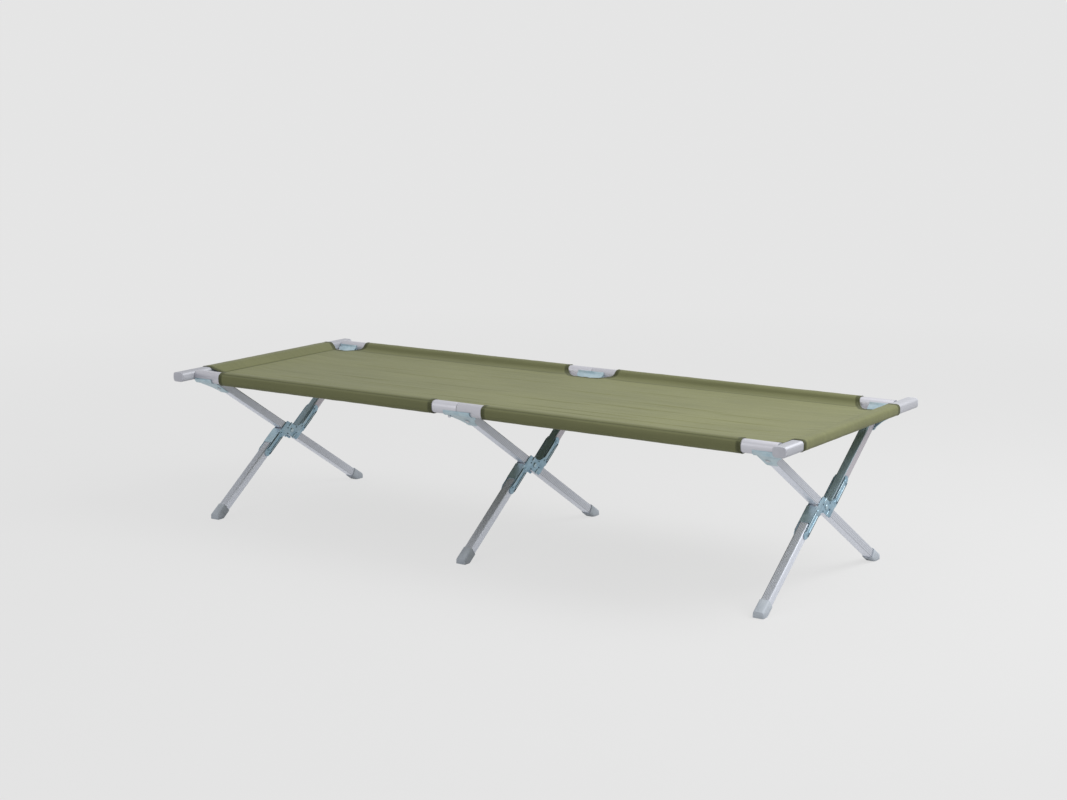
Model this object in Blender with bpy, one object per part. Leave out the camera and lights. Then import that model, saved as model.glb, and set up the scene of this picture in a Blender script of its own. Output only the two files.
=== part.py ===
"""A folding camp bed: two long rails on three crossed leg sets, with a stretched cloth bed.

The bed's length runs along X, its near side is -Y and the floor is Z = 0.
The near rail and its three long legs are one rigid frame. The far rail, its split legs and
the crossing brackets are the other, and turn on one line through the three crossing pivots.
"""
import math

import bmesh
import bpy
from mathutils import Matrix, Vector

# Driving dimensions, in metres
BED_LENGTH = 1.90
RAIL_SPACING = 0.636
RAIL_CENTRE_HEIGHT = 0.409
PIVOT_HEIGHT = 0.205
LEG_SET_OFFSET = 0.868

RAIL_WIDTH = 0.032
RAIL_DEPTH = 0.033
RAIL_CORNER = 0.013
RAIL_WALL = 0.0018
SEAM_GAP = 0.001

BAR_WIDTH = 0.035
BAR_DEPTH = 0.026
BAR_CORNER = 0.008
BAR_WALL = 0.0018
BAR_CENTRE_HEIGHT = 0.412
BAR_LONG_END = 0.378
BAR_SHORT_END = 0.353
BAR_GAP = 0.0005

LEG_WIDTH = 0.024
LEG_DEPTH = 0.024
LEG_CORNER = 0.003
LEG_WALL = 0.0016
LEG_TOP_SETBACK = 0.028
LEG_SPLIT_OFFSET = 0.0255
LEG_SPLIT_START = 0.030
LONG_LEG_FOOT_END = 0.353
SPLIT_LEG_FOOT_END = 0.355

SHEET_METAL = 0.002
SLIDE_GAP = 0.0005
CLOTH = 0.0012
CLOTH_GAP = 0.0004

FOOT_TOP = 0.333
FOOT_LENGTH = 0.070
FOOT_WALL = 0.0018
FOOT_CORNER = 0.005
FOOT_TIP = 0.322
FOOT_SOCKET_GAP = 0.0003

MIDDLE_SADDLE_REACH = 0.042
END_SADDLE_INWARD = 0.0165
END_SADDLE_OUTWARD = 0.0455
SADDLE_OUTER_FLANGE = -0.007
SADDLE_INNER_FLANGE = 0.009
CHEEK_LENGTH = 0.076
CHEEK_EDGE = 0.0155
LEG_PIN_DISTANCE = 0.047
LEG_PIN_RADIUS = 0.004
PIN_CLEARANCE = 0.0003
PIN_HEAD = 0.0018

STRIP_END = 0.126
STRIP_INNER = 0.0145
STRIP_OUTER = 0.0365
RIVET_NEAR = 0.039
RIVET_FAR = 0.110
RIVET_RADIUS = 0.0032
RIVET_HEAD_RADIUS = 0.0055
PIVOT_RADIUS = 0.004
PIVOT_HEAD_RADIUS = 0.0075

END_PIN_RADIUS = 0.005
END_PIN_BORE = 0.00535
END_PIN_START = 0.885
BAR_PIN_HEAD_RADIUS = 0.0062
BOSS_REACH = 0.0016
BOSS_SLOT_TILT = 22.0
PLUG_LENGTH = 0.020

SLEEVE_MIDDLE = 0.082
SLEEVE_END = 0.820
END_SLEEVE_HALF = 0.262
PANEL_EDGE = 0.3005
PANEL_EDGE_HEIGHT = 0.4165
PANEL_SEAM = 0.268
PANEL_SEAM_HEIGHT = 0.4125
PANEL_SAG_HEIGHT = 0.405
PANEL_END = 0.9125
NOTCH_EDGE = 0.246
NOTCH_HALF = 0.046
CORNER_NOTCH = 0.850

HINGE_PIN_X = 0.030
HINGE_PIN_Y = -0.004
HINGE_PIN_RADIUS = 0.0025

ARC_STEPS = 4
ROUND_STEPS = 12

# Values worked out from the driving dimensions
HALF_SPACING = RAIL_SPACING / 2
RISE = RAIL_CENTRE_HEIGHT - PIVOT_HEIGHT
LEG_REACH = math.hypot(HALF_SPACING, RISE)
LONG_LEG_ANGLE = math.atan2(RISE, HALF_SPACING)
SPLIT_LEG_ANGLE = LONG_LEG_ANGLE + math.asin(LEG_SPLIT_OFFSET / LEG_REACH)
SPLIT_LEG_REACH = math.sqrt(LEG_REACH ** 2 - LEG_SPLIT_OFFSET ** 2)
BAR_INNER = BED_LENGTH / 2 - BAR_WIDTH
RAIL_END = BAR_INNER - BAR_GAP
BAR_CENTRE_X = BED_LENGTH / 2 - BAR_WIDTH / 2
LEG_SETS = {"left": -LEG_SET_OFFSET, "middle": 0.0, "right": LEG_SET_OFFSET}

# Rail frame: local x is world Y, local y is world Z and local z is world X
ALONG_X = Matrix(((0, 0, 1, 0), (1, 0, 0, 0), (0, 1, 0, 0), (0, 0, 0, 1)))
HALF_TURN = Matrix.Rotation(math.pi, 4, "Z")


# Materials

def make_material(name, colour, roughness, metallic):
    material = bpy.data.materials.new(name)
    material.use_nodes = True
    shader = material.node_tree.nodes["Principled BSDF"]
    shader.inputs["Base Color"].default_value = (*colour, 1.0)
    shader.inputs["Roughness"].default_value = roughness
    shader.inputs["Metallic"].default_value = metallic
    return material


def make_materials():
    return {
        "rail": make_material("satin_aluminium", (0.62, 0.62, 0.65), 0.38, 0.9),
        "leg": make_material("reeded_aluminium", (0.52, 0.53, 0.56), 0.42, 0.9),
        "zinc": make_material("zinc_plated_steel", (0.50, 0.57, 0.62), 0.35, 0.9),
        "rivet": make_material("bright_steel", (0.66, 0.67, 0.69), 0.3, 1.0),
        "foot": make_material("grey_plastic", (0.36, 0.38, 0.40), 0.6, 0.0),
        "cap": make_material("bar_cap_plastic", (0.40, 0.41, 0.45), 0.55, 0.0),
        "cloth": make_material("olive_cloth", (0.20, 0.20, 0.10), 0.85, 0.0),
    }


# Outlines

def rounded_rectangle(width, height, radius, steps=ARC_STEPS):
    points = []
    centres = ((1, 1, 0.0), (-1, 1, 0.5), (-1, -1, 1.0), (1, -1, 1.5))
    for sx, sy, start in centres:
        cx = sx * (width / 2 - radius)
        cy = sy * (height / 2 - radius)
        for step in range(steps + 1):
            angle = math.pi * (start + 0.5 * step / steps)
            points.append((cx + radius * math.cos(angle), cy + radius * math.sin(angle)))
    return points


def circle(radius, centre=(0.0, 0.0), steps=ROUND_STEPS):
    turns = [2 * math.pi * step / steps for step in range(steps)]
    return [(centre[0] + radius * math.cos(t), centre[1] + radius * math.sin(t)) for t in turns]


def arc(centre, radius, start, end, steps):
    points = []
    for step in range(steps + 1):
        angle = math.radians(start + (end - start) * step / steps)
        points.append((centre[0] + radius * math.cos(angle), centre[1] + radius * math.sin(angle)))
    return points


# Solids

def extrude_outline(loops, depth, start=0.0):
    """Fills the first loop less the others, and extrudes it along local z from start."""
    mesh = bmesh.new()
    for loop in loops:
        verts = [mesh.verts.new((x, y, start)) for x, y in loop]
        for first, second in zip(verts, verts[1:] + verts[:1]):
            mesh.edges.new((first, second))
    bmesh.ops.triangle_fill(mesh, use_beauty=True, edges=mesh.edges[:], normal=(0, 0, 1))
    made = bmesh.ops.extrude_face_region(mesh, geom=mesh.faces[:])
    moved = [item for item in made["geom"] if isinstance(item, bmesh.types.BMVert)]
    bmesh.ops.translate(mesh, verts=moved, vec=(0, 0, depth))
    bmesh.ops.recalc_face_normals(mesh, faces=mesh.faces[:])
    return mesh


def turned(profile, steps=ROUND_STEPS):
    """Spins a profile of (radius, height) points, which starts and ends on the axis."""
    mesh = bmesh.new()
    verts = [mesh.verts.new((radius, 0, height)) for radius, height in profile]
    edges = [mesh.edges.new(pair) for pair in zip(verts, verts[1:])]
    bmesh.ops.spin(mesh, geom=verts + edges, cent=(0, 0, 0), axis=(0, 0, 1),
                   angle=2 * math.pi, steps=steps, use_merge=True)
    bmesh.ops.remove_doubles(mesh, verts=mesh.verts[:], dist=0.00001)
    bmesh.ops.recalc_face_normals(mesh, faces=mesh.faces[:])
    return mesh


def headed_pin(radius, half_length, head_radius, head_height):
    """A straight pin with a low head on each end."""
    top = half_length + head_height
    edge = head_radius * 0.7
    profile = [(0, top), (edge, top), (head_radius, half_length), (radius, half_length),
               (radius, -half_length), (head_radius, -half_length), (edge, -top), (0, -top)]
    return turned(profile)


def add_object(name, mesh, material, matrix=None, parent=None):
    if isinstance(mesh, bmesh.types.BMesh):
        data = bpy.data.meshes.new(name)
        mesh.to_mesh(data)
        mesh.free()
        data.shade_smooth()
        data.set_sharp_from_angle(angle=math.radians(35))
    else:
        data = mesh
    if material and not data.materials:
        data.materials.append(material)
    piece = bpy.data.objects.new(name, data)
    bpy.context.scene.collection.objects.link(piece)
    piece.matrix_world = matrix or Matrix.Identity(4)
    if parent:
        piece.parent = parent
        piece.matrix_parent_inverse = parent.matrix_world.inverted()
    return piece


def combine(name, body, tools, operation):
    """Returns the mesh of body cut by, or joined to, each of the tool meshes."""
    target = add_object(name, body, None)
    helpers = []
    for index, (tool, matrix) in enumerate(tools):
        helper = add_object(f"{name}_tool_{index}", tool, None, matrix)
        helper.hide_render = True
        helper.display_type = "WIRE"
        modifier = target.modifiers.new(f"{operation.lower()}_{index}", "BOOLEAN")
        modifier.operation = operation
        modifier.solver = "EXACT"
        modifier.object = helper
        helpers.append(helper)
    graph = bpy.context.evaluated_depsgraph_get()
    result = bpy.data.meshes.new_from_object(target.evaluated_get(graph))
    result.name = name
    for item in [target] + helpers:
        bpy.data.objects.remove(item)
    result.shade_smooth()
    result.set_sharp_from_angle(angle=math.radians(35))
    return result


def add_joint_empty(name, place):
    empty = bpy.data.objects.new(name, None)
    bpy.context.scene.collection.objects.link(empty)
    empty.location = place
    bpy.context.view_layer.update()
    return empty


def copies(name_form, mesh, material, places, parent):
    for key, matrix in places.items():
        add_object(name_form.format(key), mesh, material, matrix, parent)


# Frames of reference

def long_leg_frame(x):
    """Origin on the crossing pivot, local z up the long leg and local x along the bed."""
    turn = Matrix.Rotation(math.pi / 2 - LONG_LEG_ANGLE, 4, "X")
    return Matrix.Translation((x, 0, PIVOT_HEIGHT)) @ turn


def split_leg_frame(x):
    """Origin on the crossing pivot, local z down the split leg and local x along the bed."""
    turn = Matrix.Rotation(math.pi / 2 + SPLIT_LEG_ANGLE, 4, "X")
    return Matrix.Translation((x, 0, PIVOT_HEIGHT)) @ turn


def near_rail_frame(x):
    return Matrix.Translation((x, -HALF_SPACING, RAIL_CENTRE_HEIGHT))


def far_rail_frame(x):
    return Matrix.Translation((x, HALF_SPACING, RAIL_CENTRE_HEIGHT)) @ HALF_TURN


def at_leg_sets(frame):
    return {key: frame(x) for key, x in LEG_SETS.items()}


# Rails with their plugs and pins

def rail_half():
    """The right half of the near rail, from the middle seam to the bar."""
    outer = rounded_rectangle(RAIL_WIDTH, RAIL_DEPTH, RAIL_CORNER)
    inner = rounded_rectangle(RAIL_WIDTH - 2 * RAIL_WALL, RAIL_DEPTH - 2 * RAIL_WALL,
                              RAIL_CORNER - RAIL_WALL)
    start = SEAM_GAP / 2
    mesh = extrude_outline([outer, inner], RAIL_END - start, start)
    mesh.transform(ALONG_X)
    return mesh


def rail_half_with_hinge_hole():
    """The left half of the near rail, with the hinge pin's hole in its underside."""
    mesh = rail_half()
    mesh.transform(HALF_TURN)
    hole = extrude_outline([circle(HINGE_PIN_RADIUS + PIN_CLEARANCE)], 0.012, -0.006)
    place = Matrix.Translation((-HINGE_PIN_X, HINGE_PIN_Y, -RAIL_DEPTH / 2))
    return combine("hinge_rail_half", mesh, [(hole, place)], "DIFFERENCE")


def rail_plug():
    """The insert in a rail's right end, bored for the bar's pin."""
    outline = rounded_rectangle(RAIL_WIDTH - 2 * (RAIL_WALL + PIN_CLEARANCE),
                                RAIL_DEPTH - 2 * (RAIL_WALL + PIN_CLEARANCE),
                                RAIL_CORNER - RAIL_WALL - PIN_CLEARANCE)
    bore = circle(END_PIN_BORE, (0, BAR_CENTRE_HEIGHT - RAIL_CENTRE_HEIGHT))
    mesh = extrude_outline([outline, bore], PLUG_LENGTH, RAIL_END - 0.001 - PLUG_LENGTH)
    mesh.transform(ALONG_X)
    return mesh


def far_end_pin():
    """The pin in the far rail's end, whose tip sits in the slot of the bar's inner wall."""
    drop = BAR_CENTRE_HEIGHT - RAIL_CENTRE_HEIGHT
    tip = BAR_INNER + BOSS_REACH
    mesh = extrude_outline([circle(END_PIN_RADIUS, (0, drop))], tip - END_PIN_START,
                           END_PIN_START)
    mesh.transform(ALONG_X)
    return mesh


def hinge_pin():
    """The upright pin of the rail's middle hinge, with its head below the saddle."""
    top = RAIL_WALL + 0.004
    bottom = -SHEET_METAL - 2 * PIN_CLEARANCE
    head = HINGE_PIN_RADIUS + 0.0018
    profile = [(0, top), (HINGE_PIN_RADIUS, top), (HINGE_PIN_RADIUS, bottom), (head, bottom),
               (head, bottom - 0.004), (head - 0.0008, bottom - 0.005), (0, bottom - 0.005)]
    mesh = turned(profile)
    mesh.transform(Matrix.Translation((-HINGE_PIN_X, HINGE_PIN_Y, -RAIL_DEPTH / 2)))
    return mesh


def build_rails(materials, near, far):
    near_right = near_rail_frame(0)
    near_left = near_right @ HALF_TURN
    far_left = far_rail_frame(0)
    far_right = far_left @ HALF_TURN
    plain = add_object("near_rail_right", rail_half(), materials["rail"], near_right, near)
    add_object("far_rail_left", plain.data, None, far_left, far)
    hinged = rail_half_with_hinge_hole()
    add_object("near_rail_left", hinged, materials["rail"], near_right, near)
    add_object("far_rail_right", hinged, None, far_left, far)
    plug = add_object("near_rail_plug_right", rail_plug(), materials["foot"], near_right, near)
    add_object("near_rail_plug_left", plug.data, None, near_left, near)
    add_object("far_rail_plug_left", plug.data, None, far_left, far)
    add_object("far_rail_plug_right", plug.data, None, far_right, far)
    pin = add_object("far_end_pin_left", far_end_pin(), materials["rivet"], far_left, far)
    add_object("far_end_pin_right", pin.data, None, far_right, far)
    hinge = add_object("near_rail_hinge_pin", hinge_pin(), materials["rivet"], near_right, near)
    add_object("far_rail_hinge_pin", hinge.data, None, far_left, far)


# Legs

def tube_outlines():
    outer = rounded_rectangle(LEG_WIDTH, LEG_DEPTH, LEG_CORNER, 2)
    inner = rounded_rectangle(LEG_WIDTH - 2 * LEG_WALL, LEG_DEPTH - 2 * LEG_WALL,
                              LEG_CORNER - LEG_WALL, 2)
    return [outer, inner]


def hole_across(radius, z, y=0.0):
    """A drill along the bed, through the leg's two side faces."""
    tool = extrude_outline([circle(radius)], 2 * LEG_WIDTH, -LEG_WIDTH)
    place = Matrix.Translation((0, y, z)) @ Matrix.Rotation(math.pi / 2, 4, "Y")
    return tool, place


def hole_through(radius, z, y=0.0):
    """A drill square to the bed, through the leg's upper and lower faces."""
    tool = extrude_outline([circle(radius)], 2 * LEG_DEPTH, -LEG_DEPTH)
    place = Matrix.Translation((0, y, z)) @ Matrix.Rotation(math.pi / 2, 4, "X")
    return tool, place


def long_leg():
    top = LEG_REACH - LEG_TOP_SETBACK
    body = extrude_outline(tube_outlines(), top + LONG_LEG_FOOT_END, -LONG_LEG_FOOT_END)
    drills = [hole_across(PIVOT_RADIUS + PIN_CLEARANCE, 0.0),
              hole_through(LEG_PIN_RADIUS + PIN_CLEARANCE, LEG_REACH - LEG_PIN_DISTANCE)]
    return combine("long_leg", body, drills, "DIFFERENCE")


def split_leg_upper():
    top = SPLIT_LEG_REACH - LEG_TOP_SETBACK
    body = extrude_outline(tube_outlines(), top - LEG_SPLIT_START, -top)
    body.transform(Matrix.Translation((0, -LEG_SPLIT_OFFSET, 0)))
    rivet = RIVET_RADIUS + PIN_CLEARANCE
    pin_z = LEG_PIN_DISTANCE - SPLIT_LEG_REACH
    drills = [hole_across(rivet, -RIVET_NEAR, -LEG_SPLIT_OFFSET),
              hole_across(rivet, -RIVET_FAR, -LEG_SPLIT_OFFSET),
              hole_through(LEG_PIN_RADIUS + PIN_CLEARANCE, pin_z, -LEG_SPLIT_OFFSET)]
    return combine("split_leg_upper", body, drills, "DIFFERENCE")


def split_leg_lower():
    body = extrude_outline(tube_outlines(), SPLIT_LEG_FOOT_END - LEG_SPLIT_START, LEG_SPLIT_START)
    body.transform(Matrix.Translation((0, LEG_SPLIT_OFFSET, 0)))
    rivet = RIVET_RADIUS + PIN_CLEARANCE
    drills = [hole_across(rivet, RIVET_NEAR, LEG_SPLIT_OFFSET),
              hole_across(rivet, RIVET_FAR, LEG_SPLIT_OFFSET)]
    return combine("split_leg_lower", body, drills, "DIFFERENCE")


def build_legs(materials, near, far):
    copies("long_leg_{}", long_leg(), materials["leg"], at_leg_sets(long_leg_frame), near)
    split = at_leg_sets(split_leg_frame)
    copies("split_leg_upper_{}", split_leg_upper(), materials["leg"], split, far)
    copies("split_leg_lower_{}", split_leg_lower(), materials["leg"], split, far)


# Feet

def foot(axis_angle, axis_offset, frame, tube_end):
    """A plastic cap on a leg's lower end, cut flat on the floor and square at its tip.

    The cap is made in the leg's frame and cut in the bed's, then put back.
    """
    outer = rounded_rectangle(LEG_WIDTH + 2 * (FOOT_WALL + FOOT_SOCKET_GAP),
                              LEG_DEPTH + 2 * (FOOT_WALL + FOOT_SOCKET_GAP), FOOT_CORNER, 3)
    socket = rounded_rectangle(LEG_WIDTH + 2 * FOOT_SOCKET_GAP, LEG_DEPTH + 2 * FOOT_SOCKET_GAP,
                               LEG_CORNER + FOOT_SOCKET_GAP, 2)
    side = math.copysign(1, axis_angle)
    body = extrude_outline([outer], side * FOOT_LENGTH, side * FOOT_TOP)
    body.transform(Matrix.Translation((0, axis_offset, 0)))
    body.transform(frame)
    cuts = (((0, 0, 0), (0, 0, -1)), ((0, -side * FOOT_TIP, 0), (0, -side, 0)))
    for place, normal in cuts:
        cut = bmesh.ops.bisect_plane(body, geom=body.verts[:] + body.edges[:] + body.faces[:],
                                     plane_co=place, plane_no=normal, clear_outer=True)
        rim = [item for item in cut["geom_cut"] if isinstance(item, bmesh.types.BMEdge)]
        bmesh.ops.triangle_fill(body, use_beauty=True, edges=rim)
    bmesh.ops.recalc_face_normals(body, faces=body.faces[:])
    body.transform(frame.inverted())
    depth = tube_end + FOOT_SOCKET_GAP - FOOT_TOP + 0.01
    hollow = extrude_outline([socket], side * depth, side * (FOOT_TOP - 0.01))
    place = Matrix.Translation((0, axis_offset, 0))
    return combine("foot", body, [(hollow, place)], "DIFFERENCE")


def build_feet(materials, near, far):
    far_foot = foot(-1, 0.0, long_leg_frame(0), LONG_LEG_FOOT_END)
    copies("far_foot_{}", far_foot, materials["foot"], at_leg_sets(long_leg_frame), near)
    near_foot = foot(1, LEG_SPLIT_OFFSET, split_leg_frame(0), SPLIT_LEG_FOOT_END)
    copies("near_foot_{}", near_foot, materials["foot"], at_leg_sets(split_leg_frame), far)


# Rail brackets and their leg pins

def leg_side_frame(angle):
    """Origin on the rail's centre, local y down the leg and local z square to it, upwards."""
    turn = Matrix.Rotation(-angle, 4, "X")
    return turn


def saddle(low_x, high_x):
    """The trough round the rail's underside, low outside and high inside."""
    def path(offset):
        half_width = RAIL_WIDTH / 2 + offset
        half_depth = RAIL_DEPTH / 2 + offset
        radius = RAIL_CORNER + offset
        left = (radius - half_width, radius - half_depth)
        right = (half_width - radius, radius - half_depth)
        points = [(-half_width, SADDLE_OUTER_FLANGE)]
        points += arc(left, radius, 180, 270, ARC_STEPS + 1)
        points += arc(right, radius, 270, 360, ARC_STEPS + 1)
        points.append((half_width, SADDLE_INNER_FLANGE))
        return points

    outline = path(PIN_CLEARANCE + SHEET_METAL) + path(PIN_CLEARANCE)[::-1]
    mesh = extrude_outline([outline], high_x - low_x, low_x)
    mesh.transform(ALONG_X)
    return mesh


def cheek_edge(reach):
    """The free edge of a cheek, from the saddle down to the corner of its lower end."""
    spread = reach - CHEEK_EDGE
    return [(reach, 0.006), (reach, 0.022), (CHEEK_EDGE + spread * 0.72, 0.030),
            (CHEEK_EDGE + spread * 0.3, 0.045), (CHEEK_EDGE, 0.064),
            (CHEEK_EDGE - 0.0005, CHEEK_LENGTH - 0.003), (CHEEK_EDGE - 0.0035, CHEEK_LENGTH)]


def cheek(low_x, high_x):
    """One side plate of the bracket, flat, spreading out towards the saddle."""
    outline = [(-x, y) for x, y in cheek_edge(-low_x)] + cheek_edge(high_x)[::-1]
    hole = circle(LEG_PIN_RADIUS + PIN_CLEARANCE, (0, LEG_PIN_DISTANCE))
    return extrude_outline([outline, hole], SHEET_METAL)


def rail_bracket(name, angle, low_x, high_x):
    """A saddle under the near rail with two cheeks that hold the leg's top end."""
    frame = leg_side_frame(angle)
    reach = LEG_DEPTH / 2 + SLIDE_GAP
    upper = frame @ Matrix.Translation((0, 0, reach))
    lower = frame @ Matrix.Translation((0, 0, -reach - SHEET_METAL))
    cheeks = [(cheek(low_x, high_x), upper), (cheek(low_x, high_x), lower)]
    joined = combine(name, saddle(low_x, high_x), cheeks, "UNION")
    room = rounded_rectangle(RAIL_WIDTH + 2 * PIN_CLEARANCE, RAIL_DEPTH + 2 * PIN_CLEARANCE,
                             RAIL_CORNER + PIN_CLEARANCE)
    rail_room = extrude_outline([room], 4 * MIDDLE_SADDLE_REACH, -2 * MIDDLE_SADDLE_REACH)
    return combine(name, joined, [(rail_room, ALONG_X)], "DIFFERENCE")


def leg_pin(angle):
    half = LEG_DEPTH / 2 + SLIDE_GAP + SHEET_METAL + PIN_CLEARANCE
    mesh = headed_pin(LEG_PIN_RADIUS, half, LEG_PIN_RADIUS + 0.0025, PIN_HEAD)
    mesh.transform(leg_side_frame(angle) @ Matrix.Translation((0, LEG_PIN_DISTANCE, 0)))
    return mesh


def hinge_drill():
    drill = extrude_outline([circle(HINGE_PIN_RADIUS + PIN_CLEARANCE)], 0.012, -0.006)
    spot = (-HINGE_PIN_X, HINGE_PIN_Y, -RAIL_DEPTH / 2 - SHEET_METAL / 2)
    return drill, Matrix.Translation(spot)


def build_brackets(materials, near, far):
    near_places = at_leg_sets(near_rail_frame)
    far_places = at_leg_sets(far_rail_frame)
    reaches = {"outward_is_plus": (-END_SADDLE_INWARD, END_SADDLE_OUTWARD),
               "outward_is_minus": (-END_SADDLE_OUTWARD, END_SADDLE_INWARD),
               "middle": (-MIDDLE_SADDLE_REACH, MIDDLE_SADDLE_REACH)}
    sides = (("near", LONG_LEG_ANGLE, near_places, near), ("far", SPLIT_LEG_ANGLE, far_places, far))
    for side, angle, places, parent in sides:
        left, right = ("minus", "plus") if side == "near" else ("plus", "minus")
        kinds = {"left": f"outward_is_{left}", "right": f"outward_is_{right}", "middle": "middle"}
        for key, matrix in places.items():
            name = f"{side}_bracket_{key}"
            mesh = rail_bracket(name, angle, *reaches[kinds[key]])
            if key == "middle":
                mesh = combine(name, mesh, [hinge_drill()], "DIFFERENCE")
            add_object(name, mesh, materials["zinc"], matrix, parent)
        pin = add_object(f"{side}_leg_pin_left", leg_pin(angle), materials["rivet"],
                         places["left"], parent)
        for key in ("middle", "right"):
            add_object(f"{side}_leg_pin_{key}", pin.data, None, places[key], parent)


# Crossing brackets

def crossing_outline():
    """Half of the plate's outline, from the upper strip's end to the lower strip's end.

    Points are (along the leg, across it), with the upper strip at +along and -across.
    """
    end_centre = (STRIP_END - 0.011, -(STRIP_INNER + STRIP_OUTER) / 2)
    half = arc(end_centre, 0.011, -90, 90, 6)
    half += [(0.052, -STRIP_INNER)]
    half += arc((0.046, 0.0175), 0.032, 258, 196, 5)
    half += [(0.006, STRIP_OUTER - 0.006)]
    half += arc((0.000, STRIP_OUTER - 0.006), 0.006, 30, 90, 2)
    return half


def crossing_plate():
    half = crossing_outline()
    outline = half + [(-along, -across) for along, across in half]
    loop = [(across, -along) for along, across in outline]
    return extrude_outline([loop, circle(PIVOT_RADIUS + PIN_CLEARANCE)], SHEET_METAL)


def rivet():
    reach = LEG_WIDTH / 2 + SLIDE_GAP + SHEET_METAL
    mesh = headed_pin(RIVET_RADIUS, reach - 0.0001, RIVET_HEAD_RADIUS, PIN_HEAD)
    return mesh


def crossing_bracket():
    """Two stamped plates, one on each side of the legs, with four rivets between them."""
    upright = Matrix(((0, 0, 1, 0), (1, 0, 0, 0), (0, 1, 0, 0), (0, 0, 0, 1)))
    gap = LEG_WIDTH / 2 + SLIDE_GAP
    right = crossing_plate()
    right.transform(Matrix.Translation((gap, 0, 0)) @ upright)
    left_place = Matrix.Translation((-gap - SHEET_METAL, 0, 0)) @ upright
    tools = [(crossing_plate(), left_place)]
    across = Matrix.Rotation(math.pi / 2, 4, "Y")
    for along in (RIVET_NEAR, RIVET_FAR):
        for side in (1, -1):
            spot = Matrix.Translation((0, side * LEG_SPLIT_OFFSET, side * along))
            tools.append((rivet(), spot @ across))
    return combine("crossing_bracket", right, tools, "UNION")


def crossing_pivot():
    half = LEG_WIDTH / 2 + SLIDE_GAP + SHEET_METAL + PIN_CLEARANCE
    mesh = headed_pin(PIVOT_RADIUS, half, PIVOT_HEAD_RADIUS, PIN_HEAD)
    mesh.transform(Matrix.Rotation(math.pi / 2, 4, "Y"))
    return mesh


def build_crossings(materials, far):
    places = at_leg_sets(split_leg_frame)
    copies("crossing_bracket_{}", crossing_bracket(), materials["zinc"], places, far)
    pivot = add_object("crossing_pivot_left", crossing_pivot(), materials["rivet"],
                       places["left"], far)
    for key in ("middle", "right"):
        add_object(f"crossing_pivot_{key}", pivot.data, None, places[key], far)


# End bars

def boss_slot(lean):
    """A round-bottomed slot that opens upwards, leaning along the bar by the given sign."""
    radius = END_PIN_RADIUS + PIN_CLEARANCE
    outline = arc((0, 0), radius, 180, 360, 8)
    outline += [(radius + 0.0012, 0.020), (-radius - 0.0012, 0.020)]
    tilt = Matrix.Rotation(math.radians(lean * BOSS_SLOT_TILT), 4, "X")
    tool = extrude_outline([outline], 0.002, 0.0)
    tool.transform(tilt @ ALONG_X)
    return tool


def end_bar(name, inward):
    """An end bar, which passes one rail by more than the other.

    The near pin goes through a round hole in the inner wall, and the far pin's tip sits in a
    slot that lets it out upwards; inward is the sign of local x towards the bed's middle.
    """
    outer = rounded_rectangle(BAR_WIDTH, BAR_DEPTH, BAR_CORNER, 4)
    inner = rounded_rectangle(BAR_WIDTH - 2 * BAR_WALL, BAR_DEPTH - 2 * BAR_WALL,
                              BAR_CORNER - BAR_WALL, 4)
    body = extrude_outline([outer, inner], BAR_SHORT_END + BAR_LONG_END, -BAR_LONG_END)
    body.transform(Matrix.Rotation(math.pi / 2, 4, "X"))
    far = -inward
    drill = extrude_outline([circle(END_PIN_RADIUS + PIN_CLEARANCE)], 0.010, -0.005)
    hole_spot = Matrix.Translation((-BAR_WIDTH / 2, -far * HALF_SPACING, 0))
    slot_spot = Matrix.Translation((-BAR_WIDTH / 2 - 0.0001, far * HALF_SPACING, 0))
    tools = [(drill, hole_spot @ Matrix.Rotation(math.pi / 2, 4, "Y")),
             (boss_slot(far), slot_spot)]
    return combine(name, body, tools, "DIFFERENCE")


def bar_cap():
    """A plug with a face plate, facing +y from the bar's end."""
    face = extrude_outline([rounded_rectangle(BAR_WIDTH, BAR_DEPTH, BAR_CORNER, 4)], 0.0025, 0.0003)
    core = extrude_outline([rounded_rectangle(BAR_WIDTH - 2 * BAR_WALL - 0.0006,
                                              BAR_DEPTH - 2 * BAR_WALL - 0.0006,
                                              BAR_CORNER - BAR_WALL - 0.0003, 4)], 0.013, -0.012)
    mesh = combine("bar_cap", face, [(core, Matrix.Identity(4))], "UNION")
    mesh.transform(Matrix.Rotation(-math.pi / 2, 4, "X"))
    return mesh


def bar_pin():
    """The pin of a bar's near end, headed inside the bar, which slides into the rail's plug."""
    start = BAR_INNER + BAR_WALL + PIN_CLEARANCE
    head = BAR_PIN_HEAD_RADIUS
    profile = [(0, start + 0.004), (head, start + 0.004), (head, start),
               (END_PIN_RADIUS, start), (END_PIN_RADIUS, END_PIN_START + 0.001),
               (END_PIN_RADIUS - 0.001, END_PIN_START), (0, END_PIN_START)]
    mesh = turned(profile)
    mesh.transform(Matrix.Rotation(math.pi / 2, 4, "Y"))
    return mesh


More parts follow.
